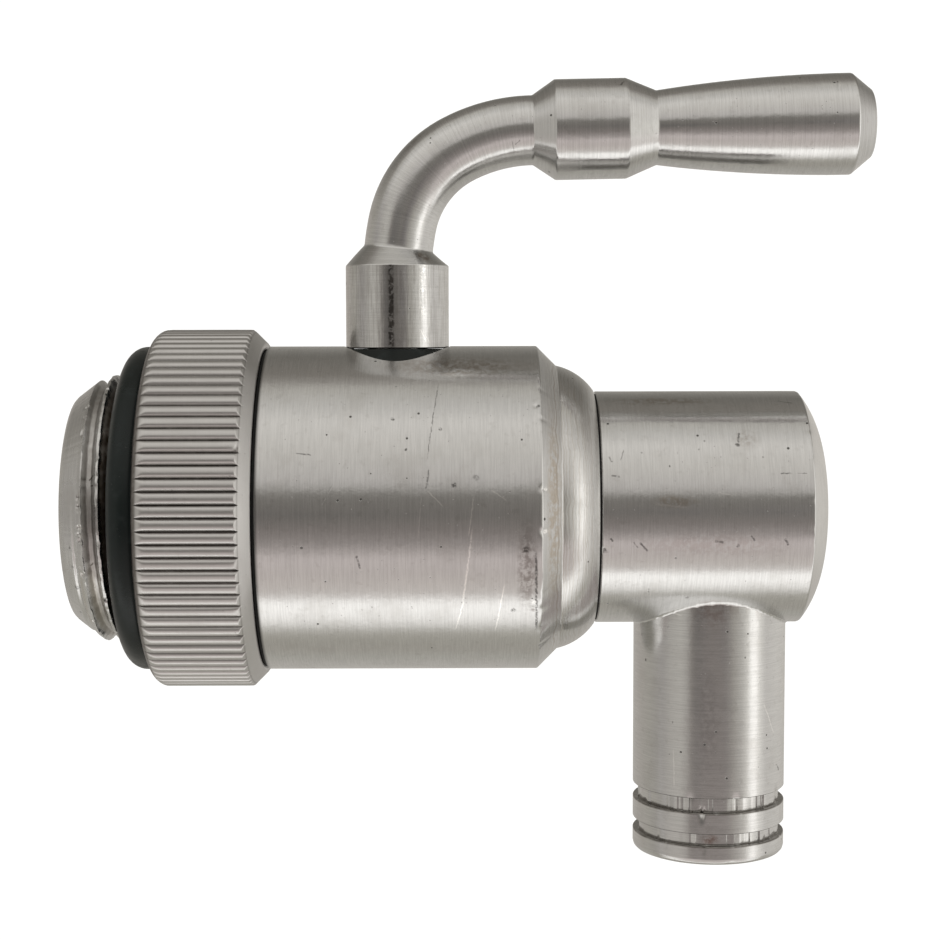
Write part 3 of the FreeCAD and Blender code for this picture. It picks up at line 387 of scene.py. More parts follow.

# light entries are scratches painted pale as highlights
SPOUT_MARKS = [
    ("dark", (62.85, 42.9), (62.68, 36.3), 0.16, 0.7), ("pit", (62.6, 35.6), None, 0.30, 0.8),
    ("dark", (66.9, 68.4), (68.7, 65.2), 0.10, 0.6), ("dark", (66.4, 20.9), (67.6, 20.7), 0.10, 0.7),
    ("dark", (68.0, 20.8), (69.0, 20.9), 0.07, 0.5), ("pit", (56.06, 24.5), None, 0.15, 0.8),
    ("dark", (50.5, 19.9), (51.4, 19.3), 0.14, 0.6), ("dark", (50.4, 29.5), (50.7, 26.5), 0.12, 0.5),
    ("dark", (53.2, -11.6), (54.0, -16.4), 0.15, 0.75), ("dark", (52.6, -11.5), (53.1, -14.6), 0.09, 0.5),
    ("dark", (50.45, -9.6), (50.75, -11.4), 0.16, 0.7), ("pit", (49.95, -15.4), None, 0.25, 0.7),
    ("dark", (60.2, -11.2), (61.1, -11.9), 0.16, 0.6), ("pit", (62.44, -13.5), None, 0.24, 0.6),
    ("dark", (66.8, -10.0), (67.2, -13.6), 0.16, 0.65), ("dark", (63.6, -8.6), (64.1, -11.4), 0.12, 0.6),
    ("dark", (54.26, -37.4), (54.3, -40.6), 0.08, 0.7),
    ("light", (54.5, 6.5), (57.8, 4.6), 0.16, 0.28), ("light", (60.4, 12.0), (62.0, 10.2), 0.08, 0.35),
    ("dark", (51.80, 33.5), (51.5, 27.0), 0.09, 0.45), ("pit", (58.04, -44.3), None, 0.25, 0.6),
    ("pit", (64.9, 29.0), None, 0.15, 0.5), ("pit", (53.5, 31.5), None, 0.14, 0.5),
    ("pit", (58.9, 33.0), None, 0.13, 0.55), ("pit", (59.5, 38.0), None, 0.16, 0.5),
]
SPOUT_STAINS = [
    ((56.0, 68.0), 7.0, 1.2, (0.34, 0.28, 0.22, 1.0), 0.55),
    ((56.5, 7.5), 2.8, 0.8, (0.40, 0.33, 0.25, 1.0), 0.55),
    ((63.5, 39.0), 1.6, 1.6, (0.36, 0.33, 0.30, 1.0), 0.5),
    ((60.0, -13.0), 9.5, 1.8, (0.42, 0.36, 0.34, 1.0), 0.35),
]


def spout_extra(c):
    M = c["M"]
    # the domed end is finer
    end = M.band(c["x"], 69.6, 69.9)
    c["height"] = M.m("MULTIPLY", c["height"], M.m("SUBTRACT", 1.0, M.m("MULTIPLY", end, 0.6)))
    c["colour"] = M.mix(M.m("MULTIPLY", end, 0.6), c["colour"], (0.66, 0.65, 0.635, 1.0))


steel_spout = steel("steel_spout", radius=11.48, marks=SPOUT_MARKS, stains=SPOUT_STAINS,
                    extra=spout_extra)

# light entries are scratches painted near white as highlights
TUBE_MARKS = [
    ("light", (-18.6, 37.0), (-22.0, 50.0), 0.09, 0.7),
    ("light", (-8.9, -42.0), (-9.2, -20.0), 0.12, 0.5), ("light", (-9.6, -40.0), (-10.0, -28.0), 0.10, 0.5),
    ("pit", (-14.8, -62.0), None, 0.20, 0.85), ("pit", (-25.6, 58.0), None, 0.22, 0.8),
    ("dark", (-25.0, 54.0), (-25.9, 60.0), 0.10, 0.7), ("pit", (-14.0, 20.0), None, 0.13, 0.7),
    ("pit", (-12.4, -68.0), None, 0.16, 0.6), ("pit", (-20.5, -35.0), None, 0.14, 0.5),
    ("light", (-27.0, -33.0), (-23.0, -34.0), 0.09, 0.45),
]
TUBE_STAINS = [
    ((-9.5, -70.0), 2.6, 2.0, (0.30, 0.26, 0.23, 1.0), 0.6),
    ((-9.0, -5.0), 3.0, 2.6, (0.36, 0.29, 0.27, 1.0), 0.5),
    ((-20.0, -8.0), 8.0, 1.4, (0.34, 0.33, 0.33, 1.0), 0.35),
    ((-31.9, -6.0), 0.7, 1.3, (0.30, 0.20, 0.17, 1.0), 0.8),
]


def tube_extra(c):
    M = c["M"]
    # grime at the lower side of each groove
    for low in (-29.26, -32.52):
        near = M.band(M.m("ABSOLUTE", M.m("SUBTRACT", c["z"], low)), 0.03, 0.20, 1.0, 0.0)
        near = M.m("MULTIPLY", near, M.band(c["soft"], 0.30, 0.5, 0.6, 1.0))
        c["colour"] = M.mix(M.m("MULTIPLY", near, 0.75), c["colour"], (0.10, 0.085, 0.065, 1.0))
    joint = M.band(c["z"], -10.9, -8.4)
    streak = M.noise(M.xyz(M.m("MULTIPLY", c["arc"], 1.2), M.m("MULTIPLY", c["z"], 0.25), 4.0),
                     1.0, 3.0, 0.6)
    c["colour"] = M.mix(M.m("MULTIPLY", M.m("MULTIPLY", joint, M.band(streak, 0.45, 0.6)), 0.4),
                        c["colour"], (0.36, 0.31, 0.28, 1.0))


steel_tube = steel("steel_tube", axis="Z", radius=7.54, centre_x=OUT_X, marks=TUBE_MARKS,
                   stains=TUBE_STAINS, extra=tube_extra, rough=0.15, brush=0.7, aniso=0.5)


def lever_extra(c):
    M = c["M"]
    arc_hub = M.m("MULTIPLY", c["angle"], 5.08)
    hub = M.m("MULTIPLY", M.band(c["along"], 15.8, 15.9), M.band(c["along"], 23.84, 23.90, 1.0, 0.0))
    # painted dark reflection: a ragged black streak down the front of the hub, left of its middle
    ragged = M.noise(M.mm, 2.3, 4.0, 0.7)
    off = M.m("ABSOLUTE", M.m("SUBTRACT", arc_hub, M.m("ADD", -0.42, M.m("MULTIPLY", M.m("SUBTRACT", M.noise(M.xyz(0.0, 0.0, M.m("MULTIPLY", c["along"], 1.0)), 1.0, 2.0), 0.5), 0.5))))
    streak = M.m("MULTIPLY", M.band(off, 0.12, 0.46, 1.0, 0.0), M.band(ragged, 0.38, 0.52))
    halo = M.m("MULTIPLY", M.band(off, 0.2, 0.9, 1.0, 0.0), 0.35)
    streak = M.m("MULTIPLY", M.top(streak, halo), hub)
    c["colour"] = M.mix(M.m("MULTIPLY", streak, 0.93), c["colour"], (0.04, 0.035, 0.03, 1.0))
    # painted highlight: a pale patchy streak right of the middle
    off2 = M.m("ABSOLUTE", M.m("SUBTRACT", arc_hub, 2.75))
    hub_highlight = M.m("MULTIPLY", M.m("MULTIPLY", M.band(off2, 0.10, 0.55, 1.0, 0.0),
                                 M.band(M.noise(M.mm, 3.1, 3.0, 0.7), 0.50, 0.60)),
                 M.m("MULTIPLY", hub, M.band(c["along"], 18.3, 20.0)))
    c["colour"] = M.mix(M.m("MULTIPLY", hub_highlight, 0.85), c["colour"], (0.93, 0.92, 0.90, 1.0))
    # brushed along the hub
    upright = M.noise(M.xyz(M.m("MULTIPLY", arc_hub, 4.0), M.m("MULTIPLY", c["along"], 0.25), 7.0),
                      1.0, 3.0, 0.6)
    c["colour"] = M.mix(M.m("MULTIPLY", M.m("MULTIPLY", hub, M.band(upright, 0.40, 0.62, 0.0, 1.0)), 0.32),
                        c["colour"], (0.30, 0.285, 0.265, 1.0))
    c["height"] = M.m("ADD", c["height"], M.m("MULTIPLY", M.m("MULTIPLY", upright, hub), 1.0))


# The lever's lengths: s runs up the hub, round the bend and along the grip.
GRIP0 = 25.575 + (22.294 - 2.765)
# light entries are scratches painted near white as highlights; the glint entry is a painted highlight
LEVER_MARKS = [
    ("light", (17.7, 27.0), (16.4, 36.0), 0.09, 0.7), ("light", (17.5, 31.0), (16.2, 41.0), 0.06, 0.5),
    ("light", (16.3, -55.0), (23.2, -53.0), 0.10, 0.35),
    ("dark", (GRIP0 - 2.2, 47.0), (GRIP0 - 2.25, 20.0), 0.06, 0.45),
    ("dark", (GRIP0 - 2.0, 28.0), (GRIP0 - 1.4, 20.0), 0.08, 0.5),
    ("dark", (GRIP0 + 8.4, -50.0), (GRIP0 + 8.9, -62.0), 0.13, 0.6),
    ("glint", (GRIP0 + 13.9, 5.0), None, 0.14, 0.7), ("pit", (GRIP0 + 12.4, 42.0), None, 0.14, 0.7),
    ("dark", (GRIP0 + 29.3, -38.0), (GRIP0 + 29.4, -52.0), 0.06, 0.7),
    ("light", (GRIP0 + 29.5, -38.0), (GRIP0 + 29.6, -52.0), 0.05, 0.6),
    ("pit", (GRIP0 + 25.9, -62.0), None, 0.18, 0.7), ("pit", (GRIP0 + 26.8, -60.0), None, 0.14, 0.6),
    ("pit", (GRIP0 + 18.6, 40.0), None, 0.10, 0.4),
]
LEVER_STAINS = [
    ((24.8, 38.0), 0.8, 1.4, (0.22, 0.17, 0.13, 1.0), 0.8),
    ((34.5, -65.0), 1.6, 1.4, (0.30, 0.26, 0.22, 1.0), 0.4),
]
steel_lever = steel("steel_lever", axis="UV", radius=4.6, marks=LEVER_MARKS, stains=LEVER_STAINS,
                    extra=lever_extra, rough=0.16, brush=0.55, mottle=0.9, aniso=0.4)


def coupling_extra(c):
    M = c["M"]
    y, z = c["y"], c["z"]
    rad = M.m("SQRT", M.m("ADD", M.m("MULTIPLY", y, y), M.m("MULTIPLY", z, z)))
    # knurled collar: greyer, slightly pink, with painted shade low in the grooves
    collar = M.m("MULTIPLY", M.band(c["x"], 6.3, 6.5), M.band(rad, 16.0, 16.2))
    c["colour"] = M.mix(M.m("MULTIPLY", collar, 0.75), c["colour"], (0.60, 0.59, 0.58, 1.0))
    groove_shade = M.m("MULTIPLY", M.m("MULTIPLY", collar, M.band(rad, 17.26, 17.50, 1.0, 0.0)),
                M.band(c["x"], 16.20, 16.32, 1.0, 0.0))
    groove_shade = M.m("MULTIPLY", groove_shade, M.band(c["soft"], 0.25, 0.55, 0.75, 1.0))
    c["colour"] = M.mix(M.m("MULTIPLY", groove_shade, 0.80), c["colour"], (0.10, 0.085, 0.075, 1.0))
    # brown grime in the thread, worst in the second root
    root = M.m("MULTIPLY", M.band(rad, 12.25, 12.95, 1.0, 0.0), M.band(c["x"], 0.6, 0.9))
    root = M.m("MULTIPLY", root, M.band(c["x"], 7.2, 7.3, 1.0, 0.0))
    deep = M.band(c["x"], 2.5, 3.2, 0.35, 0.95)
    blot = M.band(c["soft"], 0.30, 0.62, 0.55, 1.0)
    mask = M.m("MULTIPLY", M.m("MULTIPLY", root, deep), blot)
    c["colour"] = M.mix(mask, c["colour"], (0.095, 0.066, 0.036, 1.0))
    # yellow tint low in the first root
    low = M.m("MULTIPLY", M.m("MULTIPLY", root, M.band(c["x"], 1.2, 2.3, 1.0, 0.0)),
              M.band(z, -3.5, -7.0))
    c["colour"] = M.mix(M.m("MULTIPLY", low, 0.55), c["colour"], (0.50, 0.42, 0.26, 1.0))
    # painted shade: the recess behind the ring is darkened
    recess_shade = M.m("MULTIPLY", M.band(c["x"], 6.9, 7.2), M.band(rad, 15.9, 16.0, 1.0, 0.0))
    c["colour"] = M.mix(M.m("MULTIPLY", recess_shade, 0.7), c["colour"], DARK)
    c["rough"] = M.m("ADD", c["rough"], M.add(M.m("MULTIPLY", collar, 0.10), M.m("MULTIPLY", mask, 0.30)))


# glint entries are painted highlights on the nicked thread crest
COUPLING_MARKS = [
    ("dark", (1.75, 17.0), (2.25, 19.5), 0.12, 1.0), ("dark", (1.95, 15.0), (2.35, 14.6), 0.10, 1.0),
    ("dark", (1.75, -21.5), (2.05, -19.5), 0.13, 1.0), ("dark", (3.15, -28.5), (3.6, -27.0), 0.12, 1.0),
    ("dark", (3.2, -29.0), (3.25, -31.0), 0.10, 1.0),
    ("glint", (1.1, -3.0), None, 0.30, 0.9), ("glint", (1.15, -6.5), None, 0.22, 0.8),
    ("glint", (3.0, -4.5), None, 0.22, 0.8),
    ("pit", (0.2, -33.0), None, 0.35, 0.5), ("pit", (0.0, -22.0), None, 0.2, 0.4),
]
steel_coupling = steel("steel_coupling", radius=13.0, marks=COUPLING_MARKS, extra=coupling_extra,
                       rough=0.24, brush=0.7, aniso=0.3, pits=0.6)
steel_plain = steel("steel_plain", rough=0.22, pits=0.5)
steel_ball = steel("steel_ball", rough=0.09, brush=0.2, mottle=0.3, pits=0.2, aniso=0.0)
steel_spring = steel("steel_spring", rough=0.30, brush=0.4, base=(0.42, 0.41, 0.40, 1.0), aniso=0.0)
steel_stem = steel("steel_stem", axis="Z", radius=3.0, centre_x=HUB_X, rough=0.18, pits=0.3)


def rubber(name, tone=(0.003, 0.006, 0.0055, 1.0), rough=0.30, dust=0.08):
    M = Material(name)
    soft = M.noise(M.mm, 0.9, 3.0, 0.6)
    grain = M.noise(M.mm, 9.0, 3.0, 0.6)
    patch = M.noise(M.mm, 0.35, 2.0, 0.5)
    worn = M.band(soft, 0.50, 0.72)
    colour = M.mix(M.m("MULTIPLY", worn, dust), tone, (0.050, 0.062, 0.062, 1.0))
    speck = M.band(M.noise(M.mm, 6.0, 2.0, 0.5), 0.72, 0.78)
    colour = M.mix(M.m("MULTIPLY", speck, 0.35), colour, (0.16, 0.16, 0.15, 1.0))
    M.set("Base Color", colour)
    M.set("Roughness", M.add(rough, M.m("MULTIPLY", M.m("SUBTRACT", patch, 0.5), 0.25),
                             M.m("MULTIPLY", worn, 0.10)))
    M.set("IOR", 1.36)
    M.set("Normal", M.bump(M.add(M.m("MULTIPLY", grain, 0.4), M.m("MULTIPLY", soft, 1.2),
                                 M.m("MULTIPLY", speck, 0.6)), 1.2e-5))
    return M.mat


rubber_ring = rubber("rubber_ring")
rubber_seal = rubber("rubber_seal", tone=(0.002, 0.004, 0.0035, 1.0), rough=0.38, dust=0.1)
rubber_washer = rubber("rubber_washer", tone=(0.004, 0.004, 0.004, 1.0), rough=0.6, dust=0.1)


def plastic_seat():
    M = Material("white_seat")
    soft = M.noise(M.mm, 0.6, 3.0, 0.6)
    rings = M.noise(M.xyz(M.m("MULTIPLY", M.split(M.mm)[0], 5.0), 0.0, 0.0), 1.0, 2.0, 0.5)
    grain = M.noise(M.mm, 8.0, 2.0, 0.5)
    colour = M.mix(M.band(soft, 0.4, 0.7), (0.80, 0.79, 0.76, 1.0), (0.70, 0.68, 0.63, 1.0))
    M.set("Base Color", colour)
    M.set("Roughness", M.add(0.42, M.m("MULTIPLY", grain, 0.12)))
    M.set("Normal", M.bump(M.add(rings, M.m("MULTIPLY", grain, 0.4)), 8e-6))
    return M.mat


white_seat = plastic_seat()


# ------------------------------------------------------------------- meshes
def waves(count, seed, low=1, high=40):
    """A smooth periodic function of an angle, about -1 to 1."""
    gen = np.random.default_rng(seed)
    freq = gen.integers(low, high, count)
    phase = gen.uniform(0, 2 * math.pi, count)
    amp = gen.uniform(0.4, 1.0, count)
    amp = amp / amp.sum() * 2.0

    def f(angle):
        angle = np.asarray(angle, float)
        return sum(a * np.sin(n * angle + p) for a, n, p in zip(amp, freq, phase))
    return f


def wrap(angle):
    return (angle + math.pi) % (2 * math.pi) - math.pi


def arc_points(p, q, radius, side, count):
    """Points inside an arc from p to q; its centre is left (+1) or right (-1) of the chord."""
    p, q = np.array(p, float), np.array(q, float)
    chord = q - p
    half = np.linalg.norm(chord) / 2
    rise = math.sqrt(max(radius ** 2 - half ** 2, 0))
    left = np.array([-chord[1], chord[0]]) / (2 * half)
    centre = (p + q) / 2 + left * rise * side
    a0 = math.atan2(*(p - centre)[::-1])
    a1 = math.atan2(*(q - centre)[::-1])
    if side > 0:
        while a1 < a0:
            a1 += 2 * math.pi
    else:
        while a1 > a0:
            a1 -= 2 * math.pi
    return [tuple(centre + radius * np.array([math.cos(t), math.sin(t)]))
            for t in np.linspace(a0, a1, count + 2)[1:-1]]


def lay(points, edge=0.05, step=0.6, closed=True):
    """Rows along a profile. An entry is (a, r, sharp): a sharp one becomes a
    narrow broken edge, and long spans are divided."""
    count = len(points)
    rows = []
    for i, (a, r, sharp) in enumerate(points):
        before = points[i - 1] if (closed or i > 0) else None
        after = points[(i + 1) % count] if (closed or i < count - 1) else None
        if sharp and before is not None and after is not None:
            for other in (before, after):
                d = np.array([other[0] - a, other[1] - r])
                length = np.linalg.norm(d)
                rows.append(tuple(np.array([a, r]) + d / length * min(sharp * edge, 0.25 * length)))
        else:
            rows.append((a, r))
    out = []
    spans = len(rows) if closed else len(rows) - 1
    for i in range(spans):
        p, q = np.array(rows[i]), np.array(rows[(i + 1) % len(rows)])
        length = np.linalg.norm(q - p)
        cuts = [0.0]
        if length > 5 * edge:
            cuts += [1.5 * edge / length, 1 - 1.5 * edge / length]
        n = int(math.ceil(length / step))
        cuts += list(np.arange(1, n) / n)
        cuts = sorted(set(round(c, 5) for c in cuts))
        keep = [cuts[0]]
        for c in cuts[1:]:
            if (c - keep[-1]) * length > 0.4 * edge:
                keep.append(c)
        for c in keep:
            out.append(tuple(p + (q - p) * c))
    if not closed:
        out.append(rows[-1])
    return np.array(out)


def build(name, P, loop, start=None, end=None, uv=None, angle=34.0):
    """A closed mesh from a grid of rings, in mm. loop joins the last ring to
    the first; start and end are pole points that close the grid instead."""
    rows, cols = P.shape[:2]
    verts = list(map(tuple, (P.reshape(-1, 3) * 0.001)))
    idx = np.arange(rows * cols).reshape(rows, cols)
    nxt = np.roll(idx, -1, axis=1)
    if loop:
        a, b, c, d = idx, nxt, np.roll(nxt, -1, axis=0), np.roll(idx, -1, axis=0)
    else:
        a, b, c, d = idx[:-1], nxt[:-1], nxt[1:], idx[1:]
    faces = [tuple(f) for f in np.stack([a, b, c, d], -1).reshape(-1, 4).tolist()]
    if start is not None:
        verts.append(tuple(np.array(start) * 0.001))
        k = len(verts) - 1
        faces += [(k, int(nxt[0, j]), int(idx[0, j])) for j in range(cols)]
    if end is not None:
        verts.append(tuple(np.array(end) * 0.001))
        k = len(verts) - 1
        faces += [(k, int(idx[-1, j]), int(nxt[-1, j])) for j in range(cols)]
    v = np.array(verts)
    volume = 0.0
    for f in (faces[:: max(1, 1)]):
        p0 = v[f[0]]
        for i in range(1, len(f) - 1):
            volume += np.dot(p0, np.cross(v[f[i]], v[f[i + 1]])) if len(faces) < 3000 else 0.0
    if len(faces) >= 3000:
        quads = np.array([f for f in faces if len(f) == 4])
        tris = np.array([f for f in faces if len(f) == 3])
        volume = np.einsum("ij,ij->i", v[quads[:, 0]], np.cross(v[quads[:, 1]], v[quads[:, 2]])).sum()
        volume += np.einsum("ij,ij->i", v[quads[:, 0]], np.cross(v[quads[:, 2]], v[quads[:, 3]])).sum()
        if len(tris):
            volume += np.einsum("ij,ij->i", v[tris[:, 0]], np.cross(v[tris[:, 1]], v[tris[:, 2]])).sum()
    if volume < 0:
        faces = [f[::-1] for f in faces]
    mesh = bpy.data.meshes.new(name)
    mesh.from_pydata(verts, [], faces)
    if uv is not None:
        layer = mesh.uv_layers.new(name="flow")
        starts = uv.reshape(-1, 2)
        loops = np.zeros(len(mesh.loops), np.int32)
        mesh.loops.foreach_get("vertex_index", loops)
        coords = np.zeros((len(mesh.loops), 2))
        inside = loops < rows * cols
        coords[inside] = starts[loops[inside]]
        base = 0
        for poly in mesh.polygons:
            li = list(poly.loop_indices)
            vs = [coords[i][1] for i in li if loops[i] < rows * cols]
            if max(vs) - min(vs) > 0.5:
                for i in li:
                    if coords[i][1] < 0.5:
                        coords[i][1] += 1.0
            for i in li:
                if loops[i] >= rows * cols:
                    others = [coords[j] for j in li if loops[j] < rows * cols]
                    coords[i] = np.mean(others, axis=0)
        layer.data.foreach_set("uv", coords.ravel())
    mesh.polygons.foreach_set("use_smooth", [True] * len(mesh.polygons))
    mesh.set_sharp_from_angle(angle=math.radians(angle))
    obj = bpy.data.objects.new(name, mesh)
    scene.collection.objects.link(obj)
    return obj


def place(obj, material, body, node):
    obj.data.materials.clear()
    obj.data.materials.append(material)
    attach(obj, body)
    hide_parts(node)


def cut(obj, cutters, angle=34.0):
    """Takes closed cutters out of obj, in place, and removes them."""
    for cutter in cutters:
        mod = obj.modifiers.new("cut", "BOOLEAN")
        mod.operation = "DIFFERENCE"
        mod.solver = "EXACT"
        mod.object = cutter
    bpy.context.view_layer.update()
    deps = bpy.context.evaluated_depsgraph_get()
    mesh = bpy.data.meshes.new_from_object(obj.evaluated_get(deps), preserve_all_data_layers=True,
                                           depsgraph=deps)
    obj.modifiers.clear()
    old = obj.data
    name = old.name
    obj.data = mesh
    bpy.data.meshes.remove(old)
    mesh.name = name
    for cutter in cutters:
        data = cutter.data
        bpy.data.objects.remove(cutter)
        bpy.data.meshes.remove(data)
    mesh.polygons.foreach_set("use_smooth", [True] * len(mesh.polygons))
    mesh.set_sharp_from_angle(angle=math.radians(angle))


def cylinder(name, profile, axis, at, cols):
    """A closed turned cutter between poles; profile is [(a, r)...]."""
    profile = np.array(profile, float)
    t = np.arange(cols) / cols * 2 * math.pi
    P = np.zeros((len(profile), cols, 3))
    for i, (a, r) in enumerate(profile):
        if axis == "Z":
            P[i] = np.stack([at[0] + r * np.cos(t), at[1] + r * np.sin(t), np.full(cols, a)], -1)
        else:
            P[i] = np.stack([at[0] + r * np.cos(t), np.full(cols, a), at[1] + r * np.sin(t)], -1)
    ends = []
    for a in (profile[0][0], profile[-1][0]):
        ends.append((at[0], at[1], a) if axis == "Z" else (at[0], a, at[1]))
    return build(name, P, False, ends[0], ends[1])


def turned_x(rows, phi):
    """Rings round the X axis; phi runs from the top over the front."""
    P = np.zeros((len(rows), len(phi), 3))
    for i, (a, r) in enumerate(rows):
        P[i, :, 0] = a
        P[i, :, 1] = -r * np.sin(phi)
        P[i, :, 2] = r * np.cos(phi)
    return P


def radial(P, dr, axis="X", centre=0.0):
    """Moves grid points outwards from the axis by dr."""
    Q = P.copy()
    if axis == "X":
        r = np.hypot(P[..., 1], P[..., 2])
        k = 1 + dr / np.maximum(r, 1e-6)
        Q[..., 1] *= k
        Q[..., 2] *= k
    else:
        x = P[..., 0] - centre
        r = np.hypot(x, P[..., 1])
        k = 1 + dr / np.maximum(r, 1e-6)
        Q[..., 0] = centre + x * k
        Q[..., 1] *= k
    return Q


def dents(P, items, axis="X", centre=0.0, radius=16.0):
    """Small nicks: (along, degrees from the front, half length along, half width round, depth)."""
    if axis == "X":
        along = P[..., 0]
        angle = np.arctan2(P[..., 2], -P[..., 1])
    else:
        along = P[..., 2]
        angle = np.arctan2(P[..., 0] - centre, -P[..., 1])
    dr = np.zeros(P.shape[:2])
    for a, deg, half_a, half_w, depth in items:
        u = (along - a) / half_a
        w = wrap(angle - math.radians(deg)) * radius / half_w
        dr -= depth * np.exp(-(u * u + w * w) * 1.5)
    return dr


# ---- inlet coupling: thread, relief, recess and knurled collar in one piece
TEETH = 90
PITCH = 1.81
share = np.array([0.0, 0.04, 0.10, 0.20, 0.34, 0.5, 0.66, 0.80, 0.90, 0.96])
phi = np.concatenate([(k + share) * (2 * math.pi / TEETH) for k in range(TEETH)])
from_crest = np.abs(np.tile(share, TEETH) - 0.5) * 2
tooth_no = np.repeat(np.arange(TEETH), len(share))
tooth_gen = np.random.default_rng(21)
tooth_wear = tooth_gen.uniform(0.0, 0.05, TEETH)[tooth_no]
tooth_lean = tooth_gen.uniform(-0.10, 0.10, TEETH)[tooth_no]
# The crest is a little rounded and the groove narrow.
knurl = 17.68 - tooth_wear * (1 - from_crest) - 0.42 * np.clip(from_crest, 0, 1) ** 3.0
jitter = waves(14, 5, 3, 60)
burr = waves(24, 6, 20, 160)
rough_edge = waves(20, 8, 8, 90)


def thread_radius(x):
    """The worn helical thread at x for every column."""
    crest = 0.50 + PITCH * phi / (2 * math.pi) + 0.035 * jitter(phi)
    u = (x - crest) / PITCH
    turn_no = np.round(u)
    d = np.abs(u - turn_no) * PITCH
    top = 13.20 - 0.03 * np.abs(burr(phi)) - 0.05 * np.clip(rough_edge(phi + turn_no), 0, 1)
    r = top - np.maximum(d - 0.13, 0) * 1.92 - 0.25 * np.minimum(d, 0.13) ** 2
    floor = 12.14
    k = 0.10
    h = np.clip(0.5 + 0.5 * (floor - r) / k, 0, 1)
    r = r * (1 - h) + floor * h + k * h * (1 - h)
    lead = 12.10 + 0.76 * (x - 0.10) + 0.02 * burr(phi + 1.0)
    r = np.minimum(r, lead)
    if x > 3.55:
        run = max(13.22 - (x - 3.55) * 2.04, 12.3)
        r = np.minimum(r, run)
        r = np.maximum(r, 12.14 + min((x - 3.55) / 0.45, 1) * 0.16)
    return r


rows = []
for a, r in ((-1.3, 10.2), (-1.3, 10.5), (-1.3, 10.80)):
    rows.append((a, np.full(len(phi), r)))
rows.append((-1.3 + 0.06, np.full(len(phi), 11.02)))
for a in np.concatenate([[-1.0, -0.6, -0.25], np.arange(0.0, 4.06, 0.088)]):
    rows.append((a, thread_radius(a)))
for a, r in ((4.12, 12.3), (4.5, 12.3), (5.6, 12.3), (7.22, 12.3), (7.32, 12.4),
             (7.32, 15.83), (7.22, 15.93), (6.50, 15.93), (6.45, 15.98)):
    rows.append((a, np.full(len(phi), r)))
collar = [(6.45, 16.28)] + arc_points((6.45, 16.28), (7.85, 17.68), 1.4, -1, 7) + [(7.85, 17.68)]
collar += [(9.2, 17.68), (11.8, 17.68), (14.2, 17.68), (15.6, 17.68), (15.90, 17.68)]
collar += [(15.93 + t, 17.68 - t) for t in (0.04, 0.10, 0.16, 0.22, 0.28, 0.34, 0.40, 0.46, 0.60, 1.25)]
worn = waves(18, 12, 2, 40)
for a, r in collar:
    low = knurl + (tooth_lean * 0.02)
    line = r - 0.012 * np.abs(worn(phi + a))
    rows.append((a, np.minimum(line, low)))
for a, r in ((17.28, 16.29), (17.28, 15.0), (17.28, 8.15), (17.2, 8.07), (12.0, 8.07),
             (2.6, 8.07), (2.6, 10.1), (2.5, 10.2), (-1.25, 10.2)):
    rows.append((a, np.full(len(phi), r)))
P = np.zeros((len(rows), len(phi), 3))
for i, (a, r) in enumerate(rows):
    P[i, :, 0] = a
    P[i, :, 1] = -r * np.sin(phi)
    P[i, :, 2] = r * np.cos(phi)
nick_gen = np.random.default_rng(33)
nicks = [(16.0, 23.0, 0.30, 0.30, 0.22), (15.9, -28.0, 0.25, 0.35, 0.15)]
for _ in range(16):
    nicks.append((15.9 + nick_gen.uniform(-0.1, 0.2), nick_gen.uniform(-180, 180),
                  nick_gen.uniform(0.1, 0.25), nick_gen.uniform(0.15, 0.4), nick_gen.uniform(0.04, 0.14)))
for _ in range(60):
    turn_no = nick_gen.integers(0, 3)
    deg = nick_gen.uniform(-180, 180)
    over = (90 - deg) % 360
    x_c = 0.50 + PITCH * (over / 360.0 + turn_no)
    if x_c < 3.7:
        nicks.append((x_c + nick_gen.uniform(-0.1, 0.15), deg, nick_gen.uniform(0.10, 0.28),
                      nick_gen.uniform(0.12, 0.55), nick_gen.uniform(0.05, 0.26)))
for deg, depth in ((-3.0, 0.30), (-6.0, 0.28), (-9.0, 0.20), (4.0, 0.15), (-24.0, 0.22), (12.0, 0.12)):
    x_c = 0.50 + PITCH * (((90 - deg) % 360) / 360.0)
    nicks.append((x_c + 0.05, deg, 0.20, 0.26, depth))
P = radial(P, dents(P, nicks, radius=14.5))
coupling = build("inlet_coupling_turned", P, True, angle=50.0)
place(coupling, steel_coupling, "coupling", "inlet_coupling")

# ---- valve body
cols = 520
phi_b = np.arange(cols) / cols * 2 * math.pi
nose = arc_points((45.85, 14.05), (49.5, 11.65), 5.95, -1, 12)
profile = [(17.53, 12.32, 1), (17.53, 15.88, 1), (17.65, 16.0, 1), (43.9, 16.0, 1.6),
           (45.85, 14.05, 1)]
profile += [(a, r, 0) for a, r in nose]
profile += [(49.5, 11.65, 1), (49.5, 9.02, 1), (41.8, 9.02, 1), (41.8, 5.0, 1), (38.1, 5.0, 1),
            (38.1, 9.85, 1), (22.3, 9.85, 1), (22.3, 12.02, 1), (17.83, 12.02, 1)]
lay_rows = lay(profile, edge=0.045, step=0.9)
extra_rows = []
for row in lay_rows:
    extra_rows.append(tuple(row))
    if abs(row[1] - 16.0) < 1e-6 and 42.7 < row[0] < 43.8:
        pass
rows_b = np.array(extra_rows)
near = [(a, 16.0) for a in np.arange(42.9, 43.8, 0.15)]
outer = [i for i, row in enumerate(rows_b) if abs(row[1] - 16.0) < 1e-6 and row[0] < 42.85]
rows_b = np.concatenate([rows_b[:outer[-1] + 1], np.array(near),
                         np.array([row for i, row in enumerate(rows_b) if i > outer[-1]
                                   and not (abs(row[1] - 16.0) < 1e-6 and row[0] < 43.79)])])
P = turned_x(rows_b, phi_b)
body_gen = np.random.default_rng(44)
